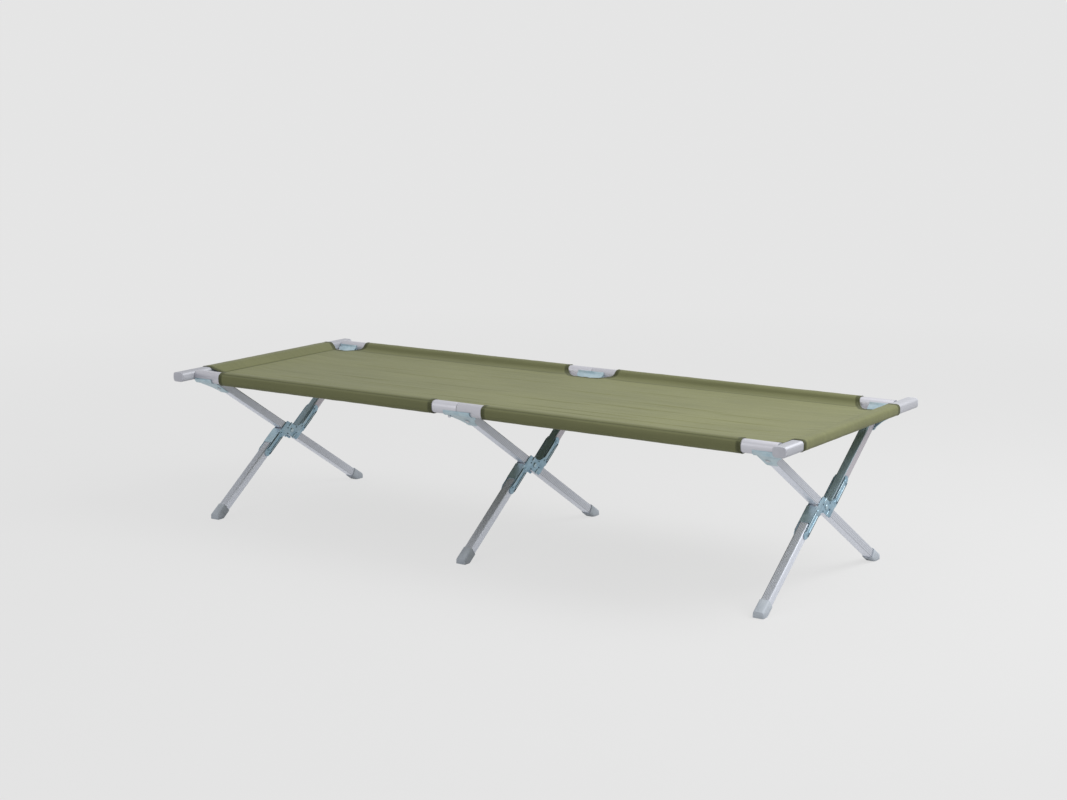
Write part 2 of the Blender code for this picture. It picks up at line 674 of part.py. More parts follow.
def build_bars(materials, left, right):
    cap = add_object("bar_cap", bar_cap(), materials["cap"]).data
    pin = add_object("bar_pin", bar_pin(), materials["rivet"]).data
    bpy.data.objects.remove(bpy.data.objects["bar_cap"])
    bpy.data.objects.remove(bpy.data.objects["bar_pin"])
    centre = Matrix.Translation((BAR_CENTRE_X, 0, BAR_CENTRE_HEIGHT))
    long_end = centre @ Matrix.Translation((0, BAR_LONG_END, 0))
    short_end = centre @ Matrix.Translation((0, -BAR_SHORT_END, 0)) @ HALF_TURN
    pin_place = Matrix.Translation((0, -HALF_SPACING, BAR_CENTRE_HEIGHT))
    sides = (("right", right, Matrix.Identity(4), -1, ("far", "near")),
             ("left", left, HALF_TURN, 1, ("near", "far")))
    for side, parent, turn, inward, ends in sides:
        bar = end_bar(f"end_bar_{side}", inward)
        add_object(f"end_bar_{side}", bar, materials["rail"], turn @ centre, parent)
        add_object(f"bar_cap_{side}_{ends[0]}", cap, None, turn @ long_end, parent)
        add_object(f"bar_cap_{side}_{ends[1]}", cap, None, turn @ short_end, parent)
        add_object(f"bar_pin_{side}", pin, None, pin_place @ turn, parent)


# Cloth

def side_sleeve():
    """The cloth ring on the right half of the near rail."""
    inner_gap = 2 * CLOTH_GAP
    outer_gap = 2 * (CLOTH_GAP + CLOTH)
    outer = rounded_rectangle(RAIL_WIDTH + outer_gap, RAIL_DEPTH + outer_gap,
                              RAIL_CORNER + outer_gap / 2)
    inner = rounded_rectangle(RAIL_WIDTH + inner_gap, RAIL_DEPTH + inner_gap,
                              RAIL_CORNER + inner_gap / 2)
    mesh = extrude_outline([outer, inner], SLEEVE_END - SLEEVE_MIDDLE, SLEEVE_MIDDLE)
    mesh.transform(ALONG_X)
    return mesh


def end_sleeve():
    """The cloth ring on the right end bar."""
    inner_gap = 2 * CLOTH_GAP
    outer_gap = 2 * (CLOTH_GAP + CLOTH)
    outer = rounded_rectangle(BAR_WIDTH + outer_gap, BAR_DEPTH + outer_gap,
                              BAR_CORNER + outer_gap / 2, 4)
    inner = rounded_rectangle(BAR_WIDTH + inner_gap, BAR_DEPTH + inner_gap,
                              BAR_CORNER + inner_gap / 2, 4)
    mesh = extrude_outline([outer, inner], 2 * END_SLEEVE_HALF, -END_SLEEVE_HALF)
    mesh.transform(Matrix.Rotation(math.pi / 2, 4, "X"))
    return mesh


def panel_quarter():
    """The panel's outline in its quarter, from the middle of a side to the middle of an end."""
    return [(0.0, NOTCH_EDGE), (NOTCH_HALF, NOTCH_EDGE), (SLEEVE_MIDDLE, PANEL_EDGE),
            (SLEEVE_END, PANEL_EDGE), (CORNER_NOTCH, NOTCH_EDGE), (PANEL_END, NOTCH_EDGE),
            (PANEL_END, 0.0)]


def panel_height(y):
    """The panel's height across the bed: down from the rail to the seam, then a shallow sag."""
    reach = abs(y)
    if reach > PANEL_SEAM:
        share = (reach - PANEL_SEAM) / (PANEL_EDGE - PANEL_SEAM)
        return PANEL_SEAM_HEIGHT + share * (PANEL_EDGE_HEIGHT - PANEL_SEAM_HEIGHT)
    share = reach / PANEL_SEAM
    return PANEL_SAG_HEIGHT + share ** 2 * (PANEL_SEAM_HEIGHT - PANEL_SAG_HEIGHT)


def bed_panel():
    """The stretched bed, cut out at the corners and at the middle of each side."""
    quarter = panel_quarter()
    right = quarter + [(x, -y) for x, y in quarter[-2::-1]]
    outline = right + [(-x, -y) for x, y in right[1:-1]]
    mesh = bmesh.new()
    verts = [mesh.verts.new((x, y, 0)) for x, y in outline]
    mesh.faces.new(verts)
    flat = 0.05
    lines = [flat, 0.12, 0.18, NOTCH_EDGE - 0.001, PANEL_SEAM]
    for line in lines + [-value for value in lines]:
        everything = mesh.verts[:] + mesh.edges[:] + mesh.faces[:]
        bmesh.ops.bisect_plane(mesh, geom=everything, plane_co=(0, line, 0), plane_no=(0, 1, 0))
    bmesh.ops.triangulate(mesh, faces=mesh.faces[:])
    made = bmesh.ops.extrude_face_region(mesh, geom=mesh.faces[:])
    top = [item for item in made["geom"] if isinstance(item, bmesh.types.BMVert)]
    bmesh.ops.translate(mesh, verts=top, vec=(0, 0, CLOTH))
    for vert in mesh.verts:
        reach = max(abs(vert.co.y), flat)
        vert.co.z += panel_height(reach) - CLOTH
    bmesh.ops.recalc_face_normals(mesh, faces=mesh.faces[:])
    return mesh


def build_cloth(materials, near, far, left, right):
    near_right = near_rail_frame(0)
    far_left = far_rail_frame(0)
    cloth = materials["cloth"]
    sleeve = add_object("near_side_sleeve_right", side_sleeve(), cloth, near_right, near)
    add_object("near_side_sleeve_left", sleeve.data, None, near_right @ HALF_TURN, near)
    add_object("far_side_sleeve_left", sleeve.data, None, far_left, far)
    add_object("far_side_sleeve_right", sleeve.data, None, far_left @ HALF_TURN, far)
    right_end = Matrix.Translation((BAR_CENTRE_X, 0, BAR_CENTRE_HEIGHT))
    end = add_object("end_sleeve_right", end_sleeve(), cloth, right_end, right)
    add_object("end_sleeve_left", end.data, None, HALF_TURN @ right_end, left)
    add_object("bed_panel", bed_panel(), cloth, Matrix.Identity(4), near)


def main():
    for item in list(bpy.data.objects):
        bpy.data.objects.remove(item)
    materials = make_materials()
    near = add_joint_empty("near_frame", Vector((0, 0, PIVOT_HEIGHT)))
    far = add_joint_empty("far_frame", Vector((0, 0, PIVOT_HEIGHT)))
    bar_axis = (-HALF_SPACING, BAR_CENTRE_HEIGHT)
    left = add_joint_empty("left_bar", Vector((-BAR_CENTRE_X, *bar_axis)))
    right = add_joint_empty("right_bar", Vector((BAR_CENTRE_X, *bar_axis)))
    build_rails(materials, near, far)
    build_legs(materials, near, far)
    build_feet(materials, near, far)
    build_brackets(materials, near, far)
    build_crossings(materials, far)
    build_bars(materials, left, right)
    build_cloth(materials, near, far, left, right)


main()
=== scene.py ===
"""A folding camp bed in olive cloth on an aluminium frame, dressed for a soft studio picture.

The frame's metal and plastic pieces keep their CAD shapes and get their finishes here. The
cloth is made here: one cut sheet that wraps both side rails, and a strip round each end bar.
The bed's length runs along X, its near side is -Y, and every length is in metres.
"""
import logging
import math
from dataclasses import dataclass, field
from enum import Enum
from typing import Callable, Iterable, Sequence

import bmesh
import bpy
from mathutils import Matrix, Vector, noise
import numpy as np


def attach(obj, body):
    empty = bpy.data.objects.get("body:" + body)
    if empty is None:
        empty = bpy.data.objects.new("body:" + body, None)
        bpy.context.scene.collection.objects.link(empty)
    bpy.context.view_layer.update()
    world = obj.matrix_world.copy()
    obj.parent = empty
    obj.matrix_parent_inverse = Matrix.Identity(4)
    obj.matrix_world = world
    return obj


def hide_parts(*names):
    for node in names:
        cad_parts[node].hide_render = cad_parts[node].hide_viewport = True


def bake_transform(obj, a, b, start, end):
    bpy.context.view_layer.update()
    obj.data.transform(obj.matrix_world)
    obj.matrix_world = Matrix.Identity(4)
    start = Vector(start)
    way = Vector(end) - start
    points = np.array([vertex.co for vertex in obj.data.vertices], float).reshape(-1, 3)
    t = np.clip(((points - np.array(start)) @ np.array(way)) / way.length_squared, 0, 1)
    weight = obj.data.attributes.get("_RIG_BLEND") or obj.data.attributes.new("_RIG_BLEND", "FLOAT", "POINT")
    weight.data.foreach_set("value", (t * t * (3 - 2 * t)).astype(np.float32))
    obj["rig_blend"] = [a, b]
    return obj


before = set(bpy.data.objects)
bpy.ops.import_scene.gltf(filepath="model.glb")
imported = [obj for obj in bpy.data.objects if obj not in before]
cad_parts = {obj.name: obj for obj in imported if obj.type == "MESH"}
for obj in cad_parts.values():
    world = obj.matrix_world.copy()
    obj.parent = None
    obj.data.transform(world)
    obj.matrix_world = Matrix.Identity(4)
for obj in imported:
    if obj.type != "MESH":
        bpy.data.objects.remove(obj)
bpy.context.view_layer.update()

Point = tuple[float, float]
Spot = tuple[float, float, float]
Colour = tuple[float, float, float]
Place = Callable[[float, float], tuple[Vector, Vector]]
Mesh = bmesh.types.BMesh
Socket = bpy.types.NodeSocket
Material = bpy.types.Material
Pieces = list[bpy.types.Object]

LOG = logging.getLogger("camp_bed")

# Sizes that the cloth shares with the frame
PIVOT = Vector((0.0, 0.0, 0.205))
RAIL_Y = 0.318
RAIL_Z = 0.409
BAR_X = 0.9325
BAR_Z = 0.412
SEAM_X = 0.8885
SEAM_Y = 0.2735
CORNER_Y = 0.2480
LEG_SETS = {"left": -0.868, "middle": 0.0, "right": 0.868}
LONG_LEG_LEAN = math.atan2(RAIL_Z - PIVOT.z, RAIL_Y)
SPLIT_OFFSET = 0.0255
REED_PITCH = SPLIT_OFFSET / 7
SPLIT_LEG_LEAN = LONG_LEG_LEAN + math.asin(
    SPLIT_OFFSET / math.hypot(RAIL_Y, RAIL_Z - PIVOT.z))

# The signs of two opposite sides, and of four quarters
SIGNS = (-1, 1)
QUARTERS = tuple((first, second) for first in SIGNS for second in SIGNS)


class End(Enum):
    """An end of the bed, as its sign along X."""

    LEFT = -1
    RIGHT = 1


class Grain(Enum):
    """The way that a metal piece's drawing lines run."""

    ALONG_X = "x"
    ALONG_Y = "y"
    LONG_LEG = "long leg"
    SPLIT_LEG = "split leg"


# Material building

class Graph:
    """A node tree with short calls for the nodes that the finishes use."""

    def __init__(self, tree: bpy.types.NodeTree) -> None:
        """Keeps a material's or a group's node tree."""
        self.tree = tree

    def node(self, kind: str, inputs: dict | None = None, **settings) -> bpy.types.Node:
        """Adds one node.

        Args:
            kind: The node's type name.
            inputs: Socket names or numbers, with values or the sockets that feed them.
            **settings: The node's own properties.

        Returns:
            The new node.
        """
        made = self.tree.nodes.new(kind)
        for name, value in settings.items():
            setattr(made, name, value)
        self.fill(made, inputs or {})
        return made

    def fill(self, node: bpy.types.Node, inputs: dict) -> None:
        """Feeds several of a node's inputs."""
        for name, value in inputs.items():
            self.feed(node.inputs[name], value)

    def feed(self, socket: Socket, value: object) -> None:
        """Links a socket to another one, or sets its value."""
        if isinstance(value, Socket):
            self.tree.links.new(value, socket)
        else:
            socket.default_value = value

    def math(self, operation: str, *values: object, clamp: bool = False) -> Socket:
        """Adds a Math node with its one to three values, and gives its output."""
        inputs = dict(enumerate(values))
        return self.node("ShaderNodeMath", inputs, operation=operation, use_clamp=clamp).outputs[0]

    def times(self, first: object, second: object) -> Socket:
        """Multiplies two values."""
        return self.math("MULTIPLY", first, second)

    def noise(self, vector: Socket, scale: object, detail: float = 3.0,
              rough: float = 0.5) -> Socket:
        """Adds a noise texture of so many octaves (detail), and gives its value."""
        inputs = {"Vector": vector, "Scale": scale, "Detail": detail, "Roughness": rough}
        return self.node("ShaderNodeTexNoise", inputs).outputs[0]

    def spread(self, value: object, low: float, high: float, new_low: object = 0.0,
               new_high: object = 1.0) -> Socket:
        """Maps a value's range from low to high onto new_low to new_high, clamped."""
        inputs = {0: value, 1: low, 2: high, 3: new_low, 4: new_high}
        return self.node("ShaderNodeMapRange", inputs).outputs[0]

    def blend(self, share: object, first: object, second: object) -> Socket:
        """Mixes two colours or their sockets, with a share of the second one."""
        inputs = {"Factor": share, 6: solid(first), 7: solid(second)}
        return self.node("ShaderNodeMix", inputs, data_type="RGBA").outputs[2]

    def bump(self, height: Socket, strength: float, distance: float,
             under: Socket | None = None) -> Socket:
        """Adds a Bump node.

        Args:
            height: The heights that it raises.
            strength: How much of them shows.
            distance: The height of a full step, in metres.
            under: The bumped normal that it adds to, or None for the surface's own.

        Returns:
            The bumped normal.
        """
        inputs = {"Height": height, "Strength": strength, "Distance": distance}
        if under is not None:
            inputs["Normal"] = under
        return self.node("ShaderNodeBump", inputs).outputs[0]

    def stretched(self, vector: Socket, scale: Sequence[float]) -> Socket:
        """Scales a pattern's coordinates by a different amount on each axis."""
        return self.node("ShaderNodeMapping", {"Vector": vector, "Scale": tuple(scale)}).outputs[0]

    def apart(self, vector: Socket) -> bpy.types.NodeOutputs:
        """Splits a vector into its three numbers."""
        return self.node("ShaderNodeSeparateXYZ", {0: vector}).outputs

    def effect(self, group: bpy.types.NodeTree, inputs: dict) -> bpy.types.NodeOutputs:
        """Places a shared effect in this tree, and gives its outputs."""
        return self.node("ShaderNodeGroup", inputs, node_tree=group).outputs


def solid(value: object) -> object:
    """Gives a plain colour its fourth number, and passes a socket through."""
    if isinstance(value, Socket):
        return value
    return (*value, 1.0)


class SharedEffects:
    """The effects that several finishes use, each built once as a node group."""

    def __init__(self) -> None:
        """Builds every group."""
        self.drawn = self._drawn_lines()
        self.rubs = self._rubs()
        self.weave = self._weave()
        self.stitches = self._stitches()

    @staticmethod
    def _group(name: str, inputs: dict[str, object], outputs: Iterable[str]
               ) -> tuple[Graph, bpy.types.NodeOutputs, bpy.types.NodeInputs]:
        """Starts a node group.

        Args:
            name: The group's name.
            inputs: Each input's name, with a number for a value or None for a vector.
            outputs: The names of its value outputs.

        Returns:
            The group's graph, its input sockets and its output sockets.
        """
        tree = bpy.data.node_groups.new(name, "ShaderNodeTree")
        for label, value in inputs.items():
            kind = "NodeSocketVector" if value is None else "NodeSocketFloat"
            socket = tree.interface.new_socket(label, in_out="INPUT", socket_type=kind)
            if value is not None:
                socket.default_value = value
        for label in outputs:
            tree.interface.new_socket(label, in_out="OUTPUT", socket_type="NodeSocketFloat")
        graph = Graph(tree)
        return graph, graph.node("NodeGroupInput").outputs, graph.node("NodeGroupOutput").inputs

    def _drawn_lines(self) -> bpy.types.NodeTree:
        """Fine lines along local Z, as a die leaves them on drawn tube.

        Returns:
            The group, with a shade and a height.
        """
        graph, given, made = self._group("drawn_lines", {"Vector": None}, ("Shade", "Height"))
        fine = graph.stretched(given["Vector"], (1400.0, 1400.0, 9.0))
        broad = graph.stretched(given["Vector"], (160.0, 160.0, 3.0))
        lines = graph.noise(fine, 1.0, 4.0, 0.6)
        bands = graph.noise(broad, 1.0, 2.0)
        graph.feed(made["Shade"],
                   graph.math("ADD", graph.times(lines, 0.6), graph.times(bands, 0.4)))
        graph.feed(made["Height"], lines)
        return graph.tree

    def _rubs(self) -> bpy.types.NodeTree:
        """Patches of handling marks, with short scuffs in them.

        Returns:
            The group, with a mask.
        """
        graph, given, made = self._group("rubs", {"Vector": None, "Scale": 14.0, "Reach": 0.5},
                                         ("Mask",))
        patches = graph.noise(given["Vector"], given["Scale"], 5.0, 0.65)
        scuffs = graph.noise(graph.stretched(given["Vector"], (260.0, 70.0, 420.0)), 1.0, 2.0)
        inside = graph.spread(graph.math("ADD", patches, given["Reach"]), 0.98, 1.22)
        graph.feed(made["Mask"], graph.times(inside, graph.spread(scuffs, 0.35, 0.75)))
        return graph.tree

    def _weave(self) -> bpy.types.NodeTree:
        """A plain weave on coordinates in metres.

        Returns:
            The group, with the threads' height and a shade that varies by thread.
        """
        graph, given, made = self._group("plain_weave", {"Vector": None, "Threads": 1500.0},
                                         ("Height", "Shade"))
        along, across, _ = graph.apart(given["Vector"])
        turns = graph.times(given["Threads"], math.pi)
        warp, weft = (graph.math("ABSOLUTE", graph.math("SINE", graph.times(way, turns)))
                      for way in (along, across))
        graph.feed(made["Height"], graph.times(warp, weft))
        slubs = [graph.noise(graph.stretched(given["Vector"], scale), 1.0)
                 for scale in ((6.0, 700.0, 1.0), (700.0, 8.0, 1.0))]
        graph.feed(made["Shade"], graph.times(graph.math("ADD", *slubs), 0.5))
        return graph.tree

    def _stitches(self) -> bpy.types.NodeTree:
        """One row of stitches.

        Returns:
            The group, with the threads' mask and the dent that the row pulls in the cloth.
        """
        graph, given, made = self._group(
            "stitches", {"Along": 0.0, "Off": 0.0, "Pitch": 0.0042, "Thickness": 0.0007},
            ("Mask", "Dent"))
        off = graph.math("ABSOLUTE", given["Off"])
        step = graph.math("FRACT", graph.math("DIVIDE", given["Along"], given["Pitch"]))
        from_middle = graph.math("ABSOLUTE", graph.math("SUBTRACT", step, 0.5))
        shown = graph.math("LESS_THAN", from_middle, 0.36)
        near = graph.math("LESS_THAN", off, given["Thickness"])
        graph.feed(made["Mask"], graph.times(shown, near))
        graph.feed(made["Dent"], graph.spread(off, 0.0, 0.0035, 1.0, 0.0))
        return graph.tree


def new_material(name: str) -> tuple[Material, Graph, bpy.types.Node]:
    """Starts a material.

    Args:
        name: The material's name.

    Returns:
        The material, its graph and its Principled shader.
    """
    material = bpy.data.materials.new(name)
    material.use_nodes = True
    return material, Graph(material.node_tree), material.node_tree.nodes["Principled BSDF"]


def grain_coordinates(graph: Graph, grain: Grain) -> Socket:
    """Object coordinates turned so that local Z runs along a piece.

    Args:
        graph: The material's graph.
        grain: How the piece lies in the bed.

    Returns:
        The turned coordinates, from the leg crossing on a leg.
    """
    place = graph.node("ShaderNodeTexCoord").outputs["Object"]
    if grain in (Grain.LONG_LEG, Grain.SPLIT_LEG):
        place = graph.node("ShaderNodeVectorMath", {0: place, 1: tuple(PIVOT)},
                           operation="SUBTRACT").outputs[0]
    kind, angle = {Grain.ALONG_X: ("Y_AXIS", -math.pi / 2),
                   Grain.ALONG_Y: ("X_AXIS", math.pi / 2),
                   Grain.LONG_LEG: ("X_AXIS", LONG_LEG_LEAN - math.pi / 2),
                   Grain.SPLIT_LEG: ("X_AXIS", math.pi / 2 - SPLIT_LEG_LEAN)}[grain]
    inputs = {"Vector": place, "Angle": angle}
    return graph.node("ShaderNodeVectorRotate", inputs, rotation_type=kind).outputs[0]


@dataclass(frozen=True)
class TubeFinish:
    """Satin aluminium tube with drawing lines; where it has reeds, painted shade darkens its reeded faces.
    """

    name: str
    grain: Grain
    light: Colour
    dark: Colour
    rub: Colour = (0.42, 0.42, 0.44)
    # The colour that the painted shade on the reeded faces darkens towards, most in the grooves.
    groove: Colour = (0.16, 0.17, 0.18)
    roughness: float = 0.46
    metallic: float = 0.75
    reeded: bool = False
    # The painted shade's tone at a reed's groove and at its crest.
    reed_shade_tones: tuple[float, float] = (0.22, 0.85)
    reeded_half: float = 0.0114
    rub_scale: float = 16.0
    rub_reach: float = 0.42
    rub_share: float = 0.45

    def build(self, effects: SharedEffects) -> Material:
        """Builds the material.

        Args:
            effects: The shared node groups.

        Returns:
            The material.
        """
        material, graph, shader = new_material(self.name)
        place = grain_coordinates(graph, self.grain)
        lines = graph.effect(effects.drawn, {"Vector": place})
        rubs = graph.effect(effects.rubs, {"Vector": place, "Scale": self.rub_scale,
                                           "Reach": self.rub_reach})["Mask"]
        base = graph.blend(graph.spread(lines["Shade"], 0.25, 0.75), self.dark, self.light)
        # Painted shade: the reeded faces darker than the plain ones, darkest in the grooves.
        if self.reeded:
            base = graph.blend(self._painted_reed_shade(graph, place), self.groove, base)
        rough = graph.spread(lines["Shade"], 0.3, 0.7, self.roughness - 0.05,
                             self.roughness + 0.07)
        graph.fill(shader, {
            "Base Color": graph.blend(graph.times(rubs, self.rub_share), base, self.rub),
            "Roughness": graph.math("ADD", rough, graph.times(rubs, 0.15)),
            "Metallic": self.metallic, "Normal": graph.bump(lines["Height"], 0.12, 0.0001)})
        return material

    def _painted_reed_shade(self, graph: Graph, place: Socket) -> Socket:
        """Paints shade on a leg's two reeded faces, darkest in the grooves: painted shade for the dimmer
        light there.

        Args:
            graph: The material's graph.
            place: The coordinates that run along the leg.

        Returns:
            A painted shade, 1 on the plain faces and low in a groove.
        """
        across, square, _ = graph.apart(place)
        spacing = LEG_SETS["right"]
        nearest = graph.math("ROUND", graph.math("DIVIDE", across, spacing))
        from_leg = graph.math("SUBTRACT", across, graph.times(nearest, spacing))
        way = square if self.grain is Grain.LONG_LEG else from_leg
        wave = graph.math("COSINE", graph.times(way, math.pi / REED_PITCH))
        reeds = graph.spread(graph.math("ABSOLUTE", wave), 0.0, 1.0, *self.reed_shade_tones)
        plain = graph.math("GREATER_THAN", graph.math("ABSOLUTE", way), self.reeded_half)
        return graph.math("MAXIMUM", reeds, plain)


@dataclass(frozen=True)
class PlateFinish:
    """Pressed or turned steel, with the cloudy tint of its plating."""

    name: str
    light: Colour
    dark: Colour
    tint: Colour
    roughness: float = 0.32
    metallic: float = 0.7
    cloud_scale: float = 55.0
    spangle_scale: float = 900.0
    rub: Colour = (0.5, 0.5, 0.5)
    rub_scale: float = 30.0

    def build(self, effects: SharedEffects) -> Material:
        """Builds the material.

        Args:
            effects: The shared node groups.

        Returns:
            The material.
        """
        material, graph, shader = new_material(self.name)
        place = graph.node("ShaderNodeTexCoord").outputs["Object"]
        clouds = graph.noise(place, self.cloud_scale, 5.0, 0.6)
        spangle = graph.node("ShaderNodeTexVoronoi", {"Vector": place,
                                                      "Scale": self.spangle_scale}).outputs[0]
        rubs = graph.effect(effects.rubs, {"Vector": place, "Scale": self.rub_scale})["Mask"]
        base = graph.blend(graph.spread(clouds, 0.3, 0.7), self.dark, self.light)
        tinted = graph.blend(graph.spread(graph.noise(place, 21.0), 0.42, 0.7, 0.0, 0.6),
                             base, self.tint)
        rough = graph.spread(clouds, 0.3, 0.7, self.roughness, self.roughness + 0.12)
        graph.fill(shader, {
            "Base Color": graph.blend(graph.times(rubs, 0.5), tinted, self.rub),
            "Roughness": graph.math("ADD", rough, graph.times(rubs, 0.15)),
            "Metallic": self.metallic, "Normal": graph.bump(spangle, 0.08, 0.0002)})
        return material


@dataclass(frozen=True)
class MouldedFinish:
    """Moulded plastic with a fine spark-eroded texture and scuffed high spots."""

    name: str
    light: Colour
    dark: Colour
    scuff: Colour
    roughness: float = 0.55
    pebble_scale: float = 2600.0
    rub_scale: float = 45.0

    def build(self, effects: SharedEffects) -> Material:
        """Builds the material.

        Args:
            effects: The shared node groups.

        Returns:
            The material.
        """
        material, graph, shader = new_material(self.name)
        place = graph.node("ShaderNodeTexCoord").outputs["Object"]
        pebble = graph.noise(place, self.pebble_scale, 2.0, 0.6)
        tone = graph.noise(place, 38.0, 4.0)
        rubs = graph.effect(effects.rubs, {"Vector": place, "Scale": self.rub_scale})["Mask"]
        base = graph.blend(graph.spread(tone, 0.3, 0.7), self.dark, self.light)
        graph.fill(shader, {
            "Base Color": graph.blend(graph.times(rubs, 0.6), base, self.scuff),
            "Roughness": graph.spread(tone, 0.3, 0.7, self.roughness - 0.05,
                                      self.roughness + 0.08),
            "Normal": graph.bump(pebble, 0.25, 0.0002)})
        return material


@dataclass(frozen=True)
class ClothFinish:
    """Coated woven cloth, with bound edges and sewn rows read from the piece's attributes.

    The cloth's UV map is the flat cut in metres. The attribute tape is the distance to the
    nearest bound edge, and seam is the distance to the nearest sewn line. Past half_open from the
    cut's middle line a tube backs the cloth; there its colour is painted darker, as painted shade
    for the light that the tube keeps from coming through.
    """

    name: str
    light: Colour
    dark: Colour
    tape: Colour
    thread: Colour
    half_open: float
    backing_shade_share: float = 0.26
    roughness: float = 0.62
    tape_width: float = 0.0115
    threads: float = 1300.0
    row_from_tape_edge: float = 0.002
    row_from_seam: float = 0.0028
    seam_shade_width: float = 0.0030

    def build(self, effects: SharedEffects) -> Material:
        """Builds the material.

        Args:
            effects: The shared node groups.

        Returns:
            The material.
        """
        material, graph, shader = new_material(self.name)
        flat = graph.node("ShaderNodeUVMap", uv_map="cut").outputs[0]
        along, across, _ = graph.apart(flat)
        edge, seam = (graph.node("ShaderNodeAttribute", attribute_name=name).outputs["Fac"]
                      for name in ("tape", "seam"))
        weave = graph.effect(effects.weave, {"Vector": flat, "Threads": self.threads})
        streaks = graph.noise(graph.stretched(flat, (3.2, 85.0, 1.0)), 1.0, 4.0, 0.6)
        fades = graph.noise(graph.stretched(flat, (2.6, 4.0, 1.0)), 1.0)
        tone = graph.math("ADD", graph.times(streaks, 0.5), graph.times(fades, 0.5))
        base = graph.blend(graph.spread(tone, 0.32, 0.68), self.dark, self.light)
        slubbed = graph.blend(graph.spread(weave["Shade"], 0.35, 0.65, 0.0, 0.22), base, self.dark)
        # Painted shade: the cloth turns darker, towards the tape colour, where a tube backs it.
        backing_shade = graph.spread(graph.math("ABSOLUTE", across), self.half_open - 0.001,
                              self.half_open, 0.0, self.backing_shade_share)
        slubbed = graph.blend(backing_shade, slubbed, self.tape)
        on_tape = graph.spread(edge, self.tape_width - 0.0008, self.tape_width, 1.0, 0.0)
        taped = graph.blend(graph.times(on_tape, 0.85), slubbed, self.tape)
        diagonal = graph.math("ADD", along, across)
        rows = [graph.effect(effects.stitches, {"Along": diagonal,
                                                "Off": graph.math("SUBTRACT", line, off)})
                for line, off in ((edge, self.tape_width - self.row_from_tape_edge),
                                  (seam, self.row_from_seam))]
        threads, dents = (graph.math("MAXIMUM", rows[0][part], rows[1][part])
                          for part in ("Mask", "Dent"))
        # Painted shade: a dark line along each sewn line, for the shade in the crease there.
        seam_shaded = graph.blend(graph.spread(seam, 0.0, self.seam_shade_width, 0.85, 0.0), taped,
                              self.tape)
        pull = graph.bump(streaks, 0.35, 0.0015, graph.bump(weave["Height"], 0.25, 0.0003))
        sewn = graph.math("SUBTRACT", graph.times(on_tape, 0.5), dents)
        graph.fill(shader, {
            "Base Color": graph.blend(threads, seam_shaded, self.thread),
            "Roughness": graph.spread(tone, 0.3, 0.7, self.roughness - 0.06,
                                      self.roughness + 0.06),
            "Sheen Weight": 0.06, "Sheen Roughness": 0.5, "Specular IOR Level": 0.25,
            "Normal": graph.bump(sewn, 0.7, 0.0008, pull)})
        return material


# Finishes of the bed

RAIL_TUBE = TubeFinish("rail_tube", Grain.ALONG_X, (0.66, 0.66, 0.71), (0.56, 0.56, 0.61))
BAR_TUBE = TubeFinish("end_bar_tube", Grain.ALONG_Y, (0.53, 0.54, 0.58), (0.46, 0.47, 0.51),
                      roughness=0.62, metallic=0.6)
LONG_LEG_TUBE = TubeFinish("long_leg_tube", Grain.LONG_LEG, (0.88, 0.91, 0.99),
                           (0.76, 0.79, 0.87), roughness=0.5, metallic=0.7, reeded=True)
SPLIT_LEG_TUBE = TubeFinish("split_leg_tube", Grain.SPLIT_LEG, (0.80, 0.83, 0.91),
                            (0.68, 0.71, 0.78), roughness=0.52, metallic=0.7, reeded=True)
# The split legs' upper halves, under the cloth: a darker, bluer copy of the split leg tube, as painted
# shade; its blue-green groove colour tints the shade on the reeded faces.
SHADED_UPPER_LEG_TUBE = TubeFinish("upper_leg_tube_painted_shade", Grain.SPLIT_LEG, (0.60, 0.57, 0.61),
                            (0.50, 0.48, 0.52), roughness=0.52, metallic=0.7, reeded=True,
                            groove=(0.19, 0.37, 0.44), reed_shade_tones=(0.12, 0.54))
ZINC_PLATE = PlateFinish("zinc_plate", (0.36, 0.54, 0.66), (0.18, 0.30, 0.39),
                         (0.43, 0.56, 0.63))
ZINC_BRACKET = PlateFinish("zinc_bracket", (0.54, 0.68, 0.75), (0.34, 0.49, 0.57),
                           (0.60, 0.70, 0.74), roughness=0.36)
# A lighter copy of the plate zinc: painted highlight on the crossing ribs and covers; the crossing pivots
# wear it too.
PAINTED_HIGHLIGHT_ZINC = PlateFinish("zinc_painted_highlight", (0.46, 0.60, 0.68), (0.34, 0.48, 0.56),
                       (0.52, 0.62, 0.66), roughness=0.34)
# Near-black zinc for dark lines and spots: painted shade beside the crossing ribs and in small recesses
# about the pivot.
PAINTED_SHADE_ZINC = PlateFinish("zinc_painted_shade", (0.10, 0.15, 0.19), (0.05, 0.08, 0.10),
                       (0.14, 0.18, 0.20), roughness=0.5)
RIVET_STEEL = PlateFinish("rivet_steel", (0.62, 0.64, 0.67), (0.42, 0.45, 0.49),
                          (0.50, 0.52, 0.58), roughness=0.25, metallic=0.9)
FOOT_PLASTIC = MouldedFinish("foot_plastic", (0.52, 0.57, 0.63), (0.42, 0.46, 0.51),
                             (0.58, 0.61, 0.64))
CAP_PLASTIC = MouldedFinish("cap_plastic", (0.62, 0.63, 0.69), (0.52, 0.53, 0.59),
                            (0.52, 0.52, 0.55), roughness=0.5)
OLIVE_COLOURS = ((0.245, 0.253, 0.120), (0.172, 0.180, 0.081), (0.060, 0.066, 0.026),
                 (0.15, 0.160, 0.070))
OLIVE_CLOTH = ClothFinish("olive_cloth", *OLIVE_COLOURS, half_open=SEAM_Y)
# The end sleeves' cloth is painted darker all over, as painted shade for the bar behind it.
SLEEVE_CLOTH = ClothFinish("olive_sleeve_cloth", *OLIVE_COLOURS, half_open=0.0,
                           backing_shade_share=0.18)


# Metal and plastic pieces

